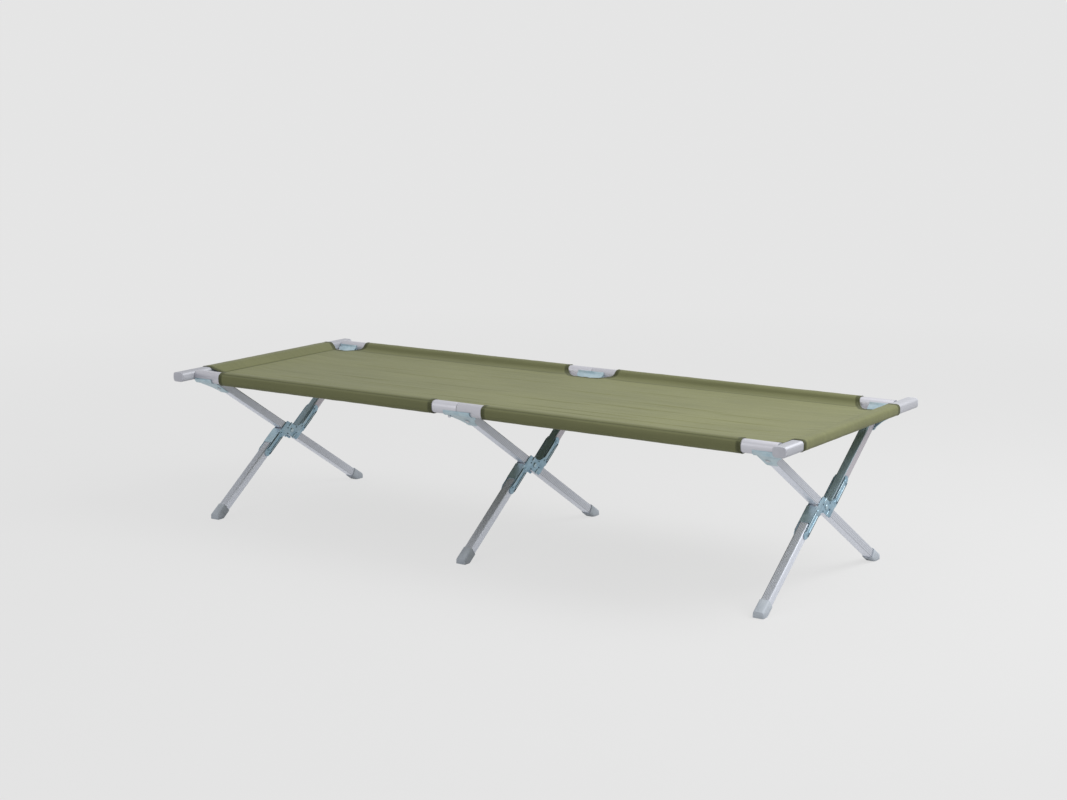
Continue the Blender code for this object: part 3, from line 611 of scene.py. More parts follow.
@dataclass
class MetalFrame:
    """The CAD's rails, legs, brackets, pins, feet and caps, eased at their edges and dressed."""

    effects: SharedEffects
    edge_radius: float = 0.0004
    sharp_angle: float = 34.0
    weld_distance: float = 0.00002
    finishes: dict[str, object] = field(default_factory=lambda: {
        "rail_plug": FOOT_PLASTIC, "hinge_pin": RIVET_STEEL, "end_pin": RIVET_STEEL,
        "leg_pin": RIVET_STEEL, "bar_pin": RIVET_STEEL, "crossing_pivot": PAINTED_HIGHLIGHT_ZINC,
        "crossing_bracket": ZINC_PLATE, "bracket": ZINC_BRACKET, "bar_cap": CAP_PLASTIC,
        "foot": FOOT_PLASTIC, "long_leg": LONG_LEG_TUBE,
        "split_leg_upper": SHADED_UPPER_LEG_TUBE, "split_leg": SPLIT_LEG_TUBE,
        "end_bar": BAR_TUBE, "rail": RAIL_TUBE})

    def dress(self) -> None:
        """Gives each hard node its finish, soft edges and smooth round faces."""
        made = {}
        for name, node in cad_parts.items():
            if "sleeve" in name or name == "bed_panel":
                continue
            key = next(word for word in self.finishes if word in name)
            finish = self.finishes[key]
            if finish.name not in made:
                made[finish.name] = finish.build(self.effects)
            node.data.materials.clear()
            node.data.materials.append(made[finish.name])
            self._ease(node)
            LOG.info("dressed %s in %s", name, finish.name)

    def _ease(self, node: bpy.types.Object) -> None:
        """Joins a node's loose triangles and rounds its edges, by modifiers alone.

        Args:
            node: The node's object.
        """
        node.data.shade_smooth()
        weld = node.modifiers.new("weld", "WELD")
        weld.merge_threshold = self.weld_distance
        bevel = node.modifiers.new("eased_edges", "BEVEL")
        bevel.width = self.edge_radius
        bevel.segments = 2
        bevel.limit_method = "ANGLE"
        bevel.angle_limit = math.radians(self.sharp_angle)
        split = node.modifiers.new("crisp_edges", "EDGE_SPLIT")
        split.split_angle = math.radians(self.sharp_angle)


@dataclass
class CrossingRibs:
    """The pressed ribs and covers of a crossing bracket's two plates, with dark lines and spots of painted
    shade.
    """

    # The lighter zinc of the ribs and covers, as painted highlight.
    plain: Material
    # The near-black zinc of the painted shade lines and spots.
    dark: Material
    plate_face: float = 0.0145
    rib_length: float = 0.056
    rib_width: float = 0.0044
    rib_height: float = 0.0016
    dome_share: float = 0.95
    rib_spread: float = 0.0068
    rib_centre: float = 0.0745
    middle_rib: tuple[float, float, float, float] = (0.006, -0.018, 0.016, 0.0055)
    # Where the dark lines of painted shade lie along each strip's edges.
    shade_strip_centre: float = 0.0775
    shade_strip_offset: float = 0.0101
    shade_strip_length: float = 0.070
    shade_strip_width: float = 0.0013
    # The dark spots of painted shade about the pivot.
    shade_spot_radius: float = 0.0021
    shade_spot_depth: float = 0.0012
    spots: tuple[Point, ...] = ((0.0195, 0.0060), (0.0080, 0.0185))
    cover_span: Point = (0.0330, 0.0860)
    cover_inside: float = 0.0125
    cover_reach: Spot = (0.0362, 0.0378, 0.0386)

    def build(self, name: str, x: float) -> Pieces:
        """Builds one bracket's light ribs and covers, and its dark lines and spots of painted shade.

        Args:
            name: The leg set's name.
            x: The leg set's place along the bed.

        Returns:
            The two pieces, riding on the split legs' side.
        """
        turn = Matrix.Rotation(SPLIT_LEG_LEAN - math.pi / 2, 4, "X")
        made = []
        for kind, mesh, material in (("ribs", self._ribs(), self.plain),
                                     ("painted_shade", self._painted_shade_marks(), self.dark)):
            mesh.transform(Matrix.Translation((x, 0, PIVOT.z)) @ turn)
            piece = mesh_object(f"crossing_{kind}_{name}", mesh, material)
            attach(piece, "far_frame")
            made.append(piece)
        return made

    def _ribs(self) -> Mesh:
        """Makes the ribs on both plates, and the cover over each half leg's outer face.

        Returns:
            Their mesh, with z up the split leg towards the far rail and y square to it.
        """
        mesh = bmesh.new()
        for face, half in QUARTERS:
            for spread in SIGNS:
                off = half * SPLIT_OFFSET + spread * self.rib_spread
                self._rib(mesh, face, half * self.rib_centre, off, self.rib_length,
                          self.rib_width)
            along, off, length, width = self.middle_rib
            self._rib(mesh, face, half * along, half * off, length, width)
        for half in SIGNS:
            self._cover(mesh, half)
        bmesh.ops.recalc_face_normals(mesh, faces=mesh.faces[:])
        return mesh

    def _painted_shade_marks(self) -> Mesh:
        """Makes dark lines along the strips' edges and small round spots about the pivot, as painted shade.

        Returns:
            Their mesh, turned as the ribs' is.
        """
        mesh = bmesh.new()
        for face, half in QUARTERS:
            for spread in SIGNS:
                off = half * SPLIT_OFFSET + spread * self.shade_strip_offset
                self._rib(mesh, face, half * self.shade_strip_centre, off, self.shade_strip_length,
                          self.shade_strip_width)
            for along, off in self.spots:
                spot = Matrix.Translation((face * self.plate_face, half * off, half * along))
                bmesh.ops.create_cone(mesh, cap_ends=True, segments=16, depth=self.shade_spot_depth,
                                      radius1=self.shade_spot_radius, radius2=self.shade_spot_radius,
                                      matrix=spot @ Matrix.Rotation(math.pi / 2, 4, "Y"))
        return mesh

    def _cover(self, mesh: Mesh, half: int) -> None:
        """Adds the bent sheet that joins the two plates over a half leg's outer face.

        Args:
            mesh: The mesh that takes it.
            half: The half of the bracket, as a sign along the leg.
        """
        edge, under, top = self.cover_reach
        inside, outside = self.cover_inside, self.plate_face
        outline = ((-outside, edge), (-outside, top), (outside, top), (outside, edge),
                   (inside, edge), (inside, under), (-inside, under), (-inside, edge))
        start, end = self.cover_span
        profile = mesh.faces.new([mesh.verts.new((x, half * off, half * start))
                                  for x, off in outline])
        drawn = bmesh.ops.extrude_face_region(mesh, geom=[profile], use_keep_orig=True)["geom"]
        far_verts = [item for item in drawn if isinstance(item, bmesh.types.BMVert)]
        bmesh.ops.translate(mesh, verts=far_verts, vec=(0, 0, half * (end - start)))

    def _rib(self, mesh: Mesh, face: int, along: float, off: float, length: float,
             width: float) -> None:
        """Adds one domed rib.

        Args:
            mesh: The mesh that takes it.
            face: The plate's side, as a sign of X.
            along: Its centre along the leg.
            off: Its centre square to the leg.
            length: Its length.
            width: Its width.
        """
        verts = bmesh.ops.create_cube(mesh, size=1.0)["verts"]
        bmesh.ops.scale(mesh, verts=verts, vec=(2 * self.rib_height, width, length))
        edges = list({edge for vert in verts for edge in vert.link_edges})
        domed = bmesh.ops.bevel(mesh, geom=edges, offset=self.rib_height * self.dome_share,
                                segments=3, profile=0.5, affect="EDGES", material=-1,
                                clamp_overlap=True)
        whole = {vert for item in domed["faces"] for vert in item.verts}
        whole |= {vert for vert in verts if vert.is_valid}
        bmesh.ops.translate(mesh, verts=list(whole), vec=(face * self.plate_face, off, along))


@dataclass(frozen=True)
class ReededLeg:
    """The rounded reeds along two opposite faces of one kind of leg.

    Its spans are (start, end) along the leg from the crossing pivot. With on_side the reeds lie
    on the faces that look along the bed.
    """

    kind: str
    lean: float
    offset: float
    on_side: bool
    spans: tuple[tuple[float, float], ...]
    rides_on: str
    half_width: float = 0.012
    reed_width: float = 0.0032
    reed_height: float = 0.00022
    sunk: float = 0.0001
    count: int = 5

    def build(self) -> Pieces:
        """Builds the reeds of this leg in each leg set.

        Returns:
            One piece for each leg.
        """
        made = []
        for name, x in LEG_SETS.items():
            mesh = bmesh.new()
            for sign in SIGNS:
                for index in range(self.count):
                    off = (index - (self.count - 1) / 2) * REED_PITCH
                    for span in self.spans:
                        self._reed(mesh, sign * (self.half_width - self.sunk), off, span)
            turn = Matrix.Rotation(self.lean, 4, "X")
            mesh.transform(Matrix.Translation((x, 0, PIVOT.z)) @ turn)
            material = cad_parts[f"{self.kind}_{name}"].data.materials[0]
            piece = mesh_object(f"{self.kind}_reeds_{name}", mesh, material)
            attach(piece, self.rides_on)
            made.append(piece)
        return made

    def _reed(self, mesh: Mesh, face: float, off: float, span: Point) -> None:
        """Adds one reed.

        Args:
            mesh: The mesh that takes it.
            face: Its middle's distance from the leg's axis, square to the reeded face.
            off: Its place across that face.
            span: Its start and end along the leg.
        """
        verts = bmesh.ops.create_cone(mesh, cap_ends=True, segments=12, radius1=0.5, radius2=0.5,
                                      depth=1.0)["verts"]
        size = (2 * (self.reed_height + self.sunk), self.reed_width)
        spot = (face, off)
        if not self.on_side:
            size, spot = size[::-1], spot[::-1]
        bmesh.ops.scale(mesh, verts=verts, vec=(*size, abs(span[1] - span[0])))
        bmesh.ops.translate(mesh, verts=verts, vec=(spot[0], spot[1] + self.offset, sum(span) / 2))


REEDED_LEGS = (
    ReededLeg("long_leg", math.pi / 2 - LONG_LEG_LEAN, 0.0, True,
              ((-0.3325, -0.0125), (0.0125, 0.335)), "near_frame"),
    ReededLeg("split_leg_upper", math.pi / 2 + SPLIT_LEG_LEAN, -SPLIT_OFFSET, False,
              ((-0.300, -0.0308),), "far_frame"),
    ReededLeg("split_leg_lower", math.pi / 2 + SPLIT_LEG_LEAN, SPLIT_OFFSET, False,
              ((0.0308, 0.3325),), "far_frame"))


def mesh_object(name: str, mesh: Mesh, material: Material,
                sharp: float = 40.0) -> bpy.types.Object:
    """Makes an object at the origin from a bmesh.

    Args:
        name: The piece's name.
        mesh: The mesh, in the bed's own coordinates, which is freed.
        material: Its material.
        sharp: The angle in degrees past which an edge stays sharp.

    Returns:
        The object, linked to the scene.
    """
    data = bpy.data.meshes.new(name)
    mesh.to_mesh(data)
    mesh.free()
    data.shade_smooth()
    data.set_sharp_from_angle(angle=math.radians(sharp))
    data.materials.append(material)
    return linked(name, data)


def linked(name: str, data: bpy.types.ID) -> bpy.types.Object:
    """Makes an object and links it to the scene.

    Args:
        name: Its name.
        data: The mesh, lamp or camera that it holds.

    Returns:
        The object.
    """
    made = bpy.data.objects.new(name, data)
    bpy.context.scene.collection.objects.link(made)
    return made


# Cloth

@dataclass
class TubeWrap:
    """The path of cloth from a sewn line, over a tube, round it and back to the line.

    The path is in the plane across the tube: out is away from the bed's middle, up is +Z.
    """

    centre: Point
    corner: Point
    radius: float
    seam: Point
    under_drop: float = 0.0016
    under_shift: float = 0.001
    cling: float = 0.0
    foot_rise: float = 0.0008
    hollowness: float = 0.8
    steps: int = 9

    def path(self) -> list[Point]:
        """Works out the path.

        Returns:
            Points (out, up) from the sewn line round to its underside.
        """
        top_start = self.cling or self._tangent_angle(
            self.seam, (-self.corner[0], self.corner[1]), 1)
        under = (self.seam[0] + self.under_shift, self.seam[1] - self.under_drop)
        low_end = self._tangent_angle(under, (-self.corner[0], -self.corner[1]), -1)
        spans = ((-1, 1, top_start, 90.0), (1, 1, 90.0, 0.0), (1, -1, 0.0, -90.0),
                 (-1, -1, -90.0, low_end))
        points = self._hollow(top_start) if self.cling else [self.seam]
        for side, level, start, end in spans:
            for step in range(self.steps + 1):
                angle = math.radians(start + (end - start) * step / self.steps)
                points.append((
                    self.centre[0] + side * self.corner[0] + self.radius * math.cos(angle),
                    self.centre[1] + level * self.corner[1] + self.radius * math.sin(angle)))
        points.append(under)
        return points

    def _hollow(self, angle: float) -> list[Point]:
        """The hollow curve from the sewn line up to where the cloth leaves the tube's side.

        Args:
            angle: The angle in degrees on the upper inner corner where the cloth leaves it.

        Returns:
            The curve's points, from the sewn line on, without its last one.
        """
        turn = math.radians(angle)
        leave = Vector((self.centre[0] - self.corner[0] + self.radius * math.cos(turn),
                        self.centre[1] + self.corner[1] + self.radius * math.sin(turn)))
        start = Vector(self.seam)
        foot_height = start.y + self.foot_rise
        drop = leave.y - foot_height
        reach = drop * math.sin(turn) / abs(math.cos(turn)) * self.hollowness
        elbow = Vector((leave.x - reach, foot_height))
        made = []
        for step in range(self.steps):
            share = step / self.steps
            made.append(tuple(start.lerp(elbow, share).lerp(elbow.lerp(leave, share), share)))
        return made

    def _tangent_angle(self, start: Point, corner: Point, way: int) -> float:
        """The angle of the corner's normal where a line from start touches it.

        Args:
            start: Where the line starts.
            corner: The corner's centre, from the tube's centre.
            way: 1 for the upper corner, -1 for the lower one.

        Returns:
            The angle in degrees.
        """
        across = self.centre[0] + corner[0] - start[0]
        rise = self.centre[1] + corner[1] - start[1]
        lean = math.atan2(rise, across) + way * math.asin(self.radius / math.hypot(across, rise))
        return math.degrees(lean) + way * 90.0


class Route:
    """A path that is followed by its length."""

    def __init__(self, points: Sequence[Point]) -> None:
        """Measures the path.

        Args:
            points: The path's points.
        """
        self.points = [Vector(point) for point in points]
        self.reached = [0.0]
        for first, second in zip(self.points, self.points[1:]):
            self.reached.append(self.reached[-1] + (second - first).length)

    @property
    def length(self) -> float:
        """The path's whole length."""
        return self.reached[-1]

    def at(self, distance: float) -> tuple[Vector, Vector]:
        """Finds a point on the path.

        Args:
            distance: How far along it is.

        Returns:
            The point, and the unit normal to the left of the way along.
        """
        distance = min(max(distance, 0.0), self.length)
        index = next((i for i, reach in enumerate(self.reached[1:]) if reach >= distance - 1e-9),
                     len(self.points) - 2)
        first, second = self.points[index], self.points[index + 1]
        span = self.reached[index + 1] - self.reached[index]
        share = (distance - self.reached[index]) / span if span > 1e-9 else 0.0
        way = (second - first).normalized()
        return first.lerp(second, share), Vector((-way.y, way.x))


def rounded(outline: Sequence[Point], radii: Sequence[float], steps: int = 4) -> list[Point]:
    """Rounds an open outline's inner corners.

    Args:
        outline: The corner points.
        radii: The rounding at each corner, 0 at the ends.
        steps: How many pieces each round has.

    Returns:
        The rounded outline.
    """
    points = [Vector(point) for point in outline]
    made = []
    for index, (point, radius) in enumerate(zip(points, radii)):
        if radius == 0.0:
            made.append(tuple(point))
            continue
        before, after = (point + (points[index + way] - point).normalized() * radius
                         for way in SIGNS)
        for step in range(steps + 1):
            share = step / steps
            low, high = before.lerp(point, share), point.lerp(after, share)
            made.append(tuple(low.lerp(high, share)))
    return made


def ripple(x: float, y: float, z: float) -> float:
    """A smooth random height at a place, between -1 and 1."""
    return noise.noise(Vector((x, y, z)))


def eased(margin: float, *gaps: float) -> float:
    """Falls from 1 to 0 over the margin beside each of some edges, given the gaps to them."""
    return math.prod(min(1.0, gap / margin) for gap in gaps)


def distance_to(point: Vector, line: Sequence[Vector]) -> float:
    """Finds how far a flat point is from an open line.

    Args:
        point: The point.
        line: The line's points.

    Returns:
        The distance, at most a metre.
    """
    best = 1.0
    for first, second in zip(line, line[1:]):
        way = second - first
        share = max(0.0, min(1.0, (point - first).dot(way) / way.length_squared))
        best = min(best, (point - first - way * share).length)
    return best


@dataclass
class ClothCut:
    """A flat cut of cloth, which is ruled into small faces and shaped by a place function.

    The function gives a flat point's place on the bed, and its outer side's normal there.
    """

    outline: list[Point]
    bound: list[list[Point]]
    seams: list[list[Point]]
    rules: tuple[list[float], list[float]]
    thickness: float = 0.0009
    sharp_angle: float = 70.0

    def area(self) -> float:
        """The cut's flat area."""
        pairs = zip(self.outline, self.outline[1:] + self.outline[:1])
        return abs(sum(a[0] * b[1] - b[0] * a[1] for a, b in pairs)) / 2

    def sewn(self, name: str, edge_name: str, place: Place,
             outward: Callable[[bmesh.types.BMFace], Vector], material: Material) -> Pieces:
        """Shapes the cut, thickens it to both sides and binds its edges.

        Args:
            name: The sheet's name.
            edge_name: The bindings' name, before their numbers.
            place: The place function.
            outward: Gives a line from a face towards its outer side.
            material: The cloth's material.

        Returns:
            The sheet, and then its bindings.
        """
        mesh = self.ruled()
        for vert in mesh.verts:
            vert.co = place(vert.co.x, vert.co.y)[0]
        mesh.normal_update()
        if sum(face.normal.dot(outward(face)) for face in mesh.faces) < 0:
            bmesh.ops.reverse_faces(mesh, faces=mesh.faces[:])
        piece = mesh_object(name, mesh, material, self.sharp_angle)
        wall = piece.modifiers.new("thickness", "SOLIDIFY")
        wall.thickness = self.thickness
        wall.offset = 0.0
        return [piece] + [binding(f"{edge_name}_{index}", line, place, material)
                          for index, line in enumerate(self.bound)]

    def ruled(self) -> Mesh:
        """Cuts the cloth along its rules.

        Returns:
            The flat mesh, with its UV map and its tape and seam distances.
        """
        mesh = bmesh.new()
        mesh.faces.new([mesh.verts.new((x, y, 0.0)) for x, y in self.outline])
        for way, places in zip((Vector((1, 0, 0)), Vector((0, 1, 0))), self.rules):
            for place in places:
                bmesh.ops.bisect_plane(mesh, geom=mesh.verts[:] + mesh.edges[:] + mesh.faces[:],
                                       plane_co=way * place, plane_no=way, dist=0.00001)
        bmesh.ops.triangulate(mesh, faces=[face for face in mesh.faces if len(face.verts) > 4])
        self._mark(mesh)
        return mesh

    def _mark(self, mesh: Mesh) -> None:
        """Writes the UV map and the two distance attributes.

        Args:
            mesh: The flat mesh.
        """
        cut, *layers = cloth_layers(mesh)
        marks = [(layer, [[Vector(point) for point in line] for line in lines])
                 for layer, lines in zip(layers, (self.bound, self.seams))]
        for vert in mesh.verts:
            for layer, lines in marks:
                vert[layer] = min(distance_to(vert.co.xy, line) for line in lines)
            for loop in vert.link_loops:
                loop[cut].uv = vert.co.xy


def cloth_layers(mesh: Mesh) -> tuple:
    """Adds what the cloth's finish reads: the UV map, and the tape and seam distances."""
    floats = mesh.verts.layers.float
    return mesh.loops.layers.uv.new("cut"), floats.new("tape"), floats.new("seam")


@dataclass(frozen=True)
class Crease:
    """A narrow pull line that runs nearly along the bed."""

    along: float
    across: float
    half: float
    lean: float
    depth: float = 0.0026
    width: float = 0.0040

    def depth_at(self, along: float, across: float) -> float:
        """How deep the crease is at a point of the cloth.

        Args:
            along: The point's place along the bed.
            across: Its place across the bed.

        Returns:
            The depth, with a low swell on each side counted against it.
        """
        share = (along - self.along) / self.half
        if abs(share) >= 1.0:
            return 0.0
        off = (across - self.across - self.lean * (along - self.along)) / self.width
        if abs(off) > 4.0:
            return 0.0
        fade = (1.0 - share * share) ** 1.5
        return self.depth * fade * (1.0 - 0.7 * off * off) * math.exp(-0.5 * off * off)


CREASES = tuple(Crease(*values) for values in (
    (0.02, -0.205, 0.17, 0.020), (0.18, -0.226, 0.22, 0.012), (0.30, -0.190, 0.26, 0.006),
    (0.24, -0.146, 0.28, 0.018), (0.46, -0.232, 0.24, -0.008), (0.54, -0.176, 0.27, 0.010),
    (0.50, -0.112, 0.24, 0.016), (0.10, -0.060, 0.22, 0.022), (0.34, -0.030, 0.20, 0.008),
    (0.62, -0.052, 0.23, 0.014), (0.44, 0.036, 0.19, 0.012), (0.66, 0.020, 0.17, -0.006),
    (0.14, 0.092, 0.18, 0.010, 0.0015), (-0.16, -0.168, 0.20, 0.014, 0.0017),
    (-0.30, -0.216, 0.19, -0.010, 0.0017), (-0.36, -0.110, 0.24, 0.016, 0.0017),
    (-0.22, -0.024, 0.22, 0.010, 0.0018), (-0.52, -0.060, 0.19, 0.012, 0.0017),
    (-0.40, 0.060, 0.24, 0.014, 0.0017), (-0.60, 0.100, 0.18, -0.008, 0.0015),
    (-0.14, 0.148, 0.20, 0.008, 0.0015), (0.74, -0.120, 0.10, 0.010, 0.0017),
    (0.30, 0.160, 0.20, 0.004, 0.0015), (-0.66, -0.170, 0.15, 0.010, 0.0017)))


@dataclass
class BedCloth:
    """The main cloth: the lying surface and its four side sleeves, in one cut sheet."""

    material: Material
    seam_y: float = SEAM_Y
    seam_z: float = 0.4055
    sag: float = 0.0045
    end_seam: float = SEAM_X
    end_allowance: float = 0.006
    middle_bare: float = 0.080
    sleeve_end: float = 0.820
    notch_edge: float = 0.2620
    corner_edge: float = CORNER_Y
    middle_notch_half: float = 0.040
    corner_notch: float = 0.858
    lip: float = 0.030
    middle_round: float = 0.014
    corner_round: float = 0.012
    pull_height: float = 0.0011
    pucker_height: float = 0.0007
    pucker_reach: float = 0.014
    pucker_place: float = 0.012
    side_pitch: float = 0.034
    end_pitch: float = 0.030
    wrinkle: float = 0.00045
    slack: float = 0.0006
    end_rise: float = 0.0035
    end_rise_from: float = 0.780
    middle_lift: float = 0.0020
    hem_spread: float = 0.034
    hem_reach: float = 0.1
    hem_from: float = 0.13
    lift_round_rail: float = 0.028
    groove_depth: float = 0.0005
    groove_width: float = 0.0016
    fold_height: float = 0.0011
    fold_rise: float = 0.003
    calm_margin: float = 0.02
    rule_along: float = 0.010
    rule_across: float = 0.0042
    rule_sleeve: float = 0.0052
    rail_corner: Point = (0.003, 0.0035)
    rail_radius: float = 0.0140
    cling: float = 158.0
    groove_step: int = 5

    def __post_init__(self) -> None:
        """Works out the wrap round a rail, and the groove on its upper outer corner."""
        wrap = TubeWrap((RAIL_Y, RAIL_Z), self.rail_corner, self.rail_radius,
                        (self.seam_y, self.seam_z), cling=self.cling)
        self.route = Route(wrap.path())
        self.reach = self.seam_y + self.route.length
        self.groove = self.seam_y + self.route.reached[2 * wrap.steps + self.groove_step]
        self.middle_hem = [Vector(point) for point in self._edge_lines()[0]]

    def quarter(self) -> list[Point]:
        """Lays out the notched edge in the first quarter.

        Returns:
            Its points, from the middle of a side to the end's middle.
        """
        lip = self.seam_y + self.lip
        corners = [(0.0, self.notch_edge), (self.middle_notch_half, self.notch_edge),
                   (self.middle_bare, lip), (self.middle_bare, self.reach),
                   (self.sleeve_end, self.reach), (self.sleeve_end, lip),
                   (self.corner_notch, self.corner_edge),
                   (self.end_seam + self.end_allowance, self.corner_edge),
                   (self.end_seam + self.end_allowance, 0.0)]
        turn = self.corner_round
        return rounded(corners, [0.0, self.middle_round, turn, 0.0, 0.0, turn, turn, 0.0, 0.0])

    def _edge_lines(self) -> list[list[Point]]:
        """Finds the bound edges of the first quarter.

        Returns:
            The points of half the middle notch, and of the corner notch.
        """
        edge = [point for point in self.quarter() if point[1] < self.reach - 1e-6]
        middle = [point for point in edge if point[0] <= self.middle_bare + 1e-6]
        corner = [point for point in edge if point[0] >= self.sleeve_end - 1e-6]
        middle.append((self.middle_bare, self.reach))
        corner.insert(0, (self.sleeve_end, self.reach))
        return [middle, [point for point in corner if point[1] > 1e-6]]

    def cut(self) -> ClothCut:
        """Lays out the flat cut.

        Returns:
            The cut, with its bound edges, sewn lines and rules.
        """
        quarter = self.quarter()
        right = quarter + [(x, -y) for x, y in quarter[-2::-1]]
        outline = right + [(-x, -y) for x, y in right[1:-1]]
        lines = [[(sx * x, sy * y) for x, y in line]
                 for line in self._edge_lines() for sx, sy in QUARTERS]
        seams = [[(-x, s * y), (x, s * y)] for s in SIGNS
                 for x, y in ((self.end_seam, self.seam_y), (self.sleeve_end, self.groove))]
        seams += [[(s * self.end_seam, -self.corner_edge), (s * self.end_seam, self.corner_edge)]
                  for s in SIGNS]
        coarse = 1.0
        ends = self.end_seam + self.end_allowance
        along = evenly(-ends, ends, self.rule_along * coarse)
        flat = evenly(-self.seam_y, self.seam_y, self.rule_across * coarse)
        wrap = evenly(self.seam_y, self.reach, self.rule_sleeve)
        wrap += [self.groove + step * self.groove_width for step in (-1.6, -0.8, 0.0, 0.8, 1.6)]
        across = sorted(flat + wrap + [-place for place in wrap] + [self.seam_y, -self.seam_y])
        return ClothCut(outline, lines, seams, (along, across))

    def place(self, along: float, across: float) -> tuple[Vector, Vector]:
        """Where a point of the flat cut lies on the bed.

        Args:
            along: Its place along the cut.
            across: Its place across the cut.

        Returns:
            The point and its upper side's normal.
        """
        side = math.copysign(1.0, across)
        reach = abs(across)
        if reach > self.seam_y:
            point, normal = self.route.at(reach - self.seam_y)
            shift = self._sleeve_pull(along, across)
            past = reach - self.groove
            shift -= self.groove_depth * math.exp(-(past / self.groove_width) ** 2)
            folded = eased(self.fold_rise, max(0.0, past))
            shift += self.fold_height * (folded * eased(self.calm_margin, self.reach - reach))
            point = point + normal * shift
            lift_share = max(0.0, 1 - (reach - self.seam_y) / self.lift_round_rail)
            point.y += self._lifted(along, across) * lift_share
            return (Vector((along, side * point.x, point.y)),
                    Vector((0.0, side * normal.x, normal.y)))
        share = 1.0 - (reach / self.seam_y) ** 2
        end_share = 1.0 - min(1.0, abs(along) / self.end_seam) ** 8
        height = self.seam_z - self.sag * share * end_share
        height += self._panel_pull(along, across) + self._lifted(along, across)
        slope = 2 * self.sag * end_share * across / self.seam_y ** 2
        return Vector((along, across, height)), Vector((0.0, -slope, 1.0)).normalized()

    def _lifted(self, along: float, across: float) -> float:
        """Finds how far the cloth rises beside a middle notch's hem and towards the end bars.

        Args:
            along: The point's place along the cut.
            across: Its place across the cut.

        Returns:
            The rise.
        """
        spot = Vector((abs(along), abs(across)))
        if spot.x > self.end_rise_from:
            share = (spot.x - self.end_rise_from) / (self.end_seam - self.end_rise_from)
            return self.end_rise * min(1.0, share) ** 2
        if spot.x > self.middle_bare + self.hem_reach or spot.y < self.hem_from:
            return 0.0
        away = distance_to(spot, self.middle_hem)
        return self.middle_lift * math.exp(-(away / self.hem_spread) ** 2)

    def _panel_pull(self, along: float, across: float) -> float:
        """Finds the height of the long pull lines, and of the puckers beside the sewn lines.

        Args:
            along: The point's place along the cut.
            across: Its place across the cut.

        Returns:
            The height over the plain panel.
        """
        from_side = self.seam_y - abs(across)
        from_end = max(self.end_seam - abs(along), 0.0)
        calm = eased(self.calm_margin, from_side, from_end)
        lines = ripple(along * 2.2, across * 26.0, 3.7)
        lines += 0.5 * ripple(along * 5.0, across * 70.0, 8.1)
        dips = ripple(along * 3.0, across * 4.0, 1.3)
        height = calm * self.pull_height * (lines + 0.8 * dips)
        height -= calm * sum(crease.depth_at(along, across) for crease in CREASES)
        puckers = 0.0
        for off, way, pitch, place in ((from_side, along, self.side_pitch, 0.0),
                                       (from_end, across, self.end_pitch, 5.0)):
            turns = way * 2 * math.pi / pitch + 4 * ripple(way * 9, place, 0)
            away = (off - self.pucker_place) / self.pucker_reach
            puckers += math.exp(-away ** 2) * math.sin(turns)
        return height + self.pucker_height * puckers * calm

    def _sleeve_pull(self, along: float, across: float) -> float:
        """Finds how far the sleeve stands off its path, in slack rounds and small wrinkles.

        Args:
            along: The point's place along the cut.
            across: Its place across the cut.

        Returns:
            The distance off the path.
        """
        reach = abs(across)
        calm = eased(self.calm_margin, reach - self.seam_y, self.reach - reach)
        wave = ripple(along * 30.0, across * 14.0, 6.0)
        swell = ripple(along * 5.0, across * 9.0, 2.0)
        return calm * (self.wrinkle * wave + self.slack * max(0.0, swell))

    def build(self) -> Pieces:
        """Builds the sheet and its bound edges, and spreads them between the two frames.

        Returns:
            The sheet and its edge bindings.
        """
        cut = self.cut()
        pieces = cut.sewn("bed_cloth", "edge_binding", self.place, self._upward, self.material)
        for item in pieces:
            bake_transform(item, "near_frame", "far_frame", (0, -self.seam_y, RAIL_Z),
                     (0, self.seam_y, RAIL_Z))
        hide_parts("bed_panel", "near_side_sleeve_left", "near_side_sleeve_right",
                    "far_side_sleeve_left", "far_side_sleeve_right")
        cut.area()
        return pieces

    @staticmethod
    def _upward(face: bmesh.types.BMFace) -> Vector:
        """A line straight up from a face, as long as the face is large."""
        return Vector((0.0, 0.0, face.calc_area()))


def evenly(start: float, end: float, step: float) -> list[float]:
    """Places between start and end, about step apart, without the ends."""
    count = max(1, round((end - start) / step))
    return [start + (end - start) * index / count for index in range(1, count)]


def lay_flat(faces: Iterable[bmesh.types.BMFace], cut: bmesh.types.BMLayerItem,
             flat: Vector) -> None:
    """Gives faces one point of the flat cut."""
    for loop in (loop for face in faces for loop in face.loops):
        loop[cut].uv = flat


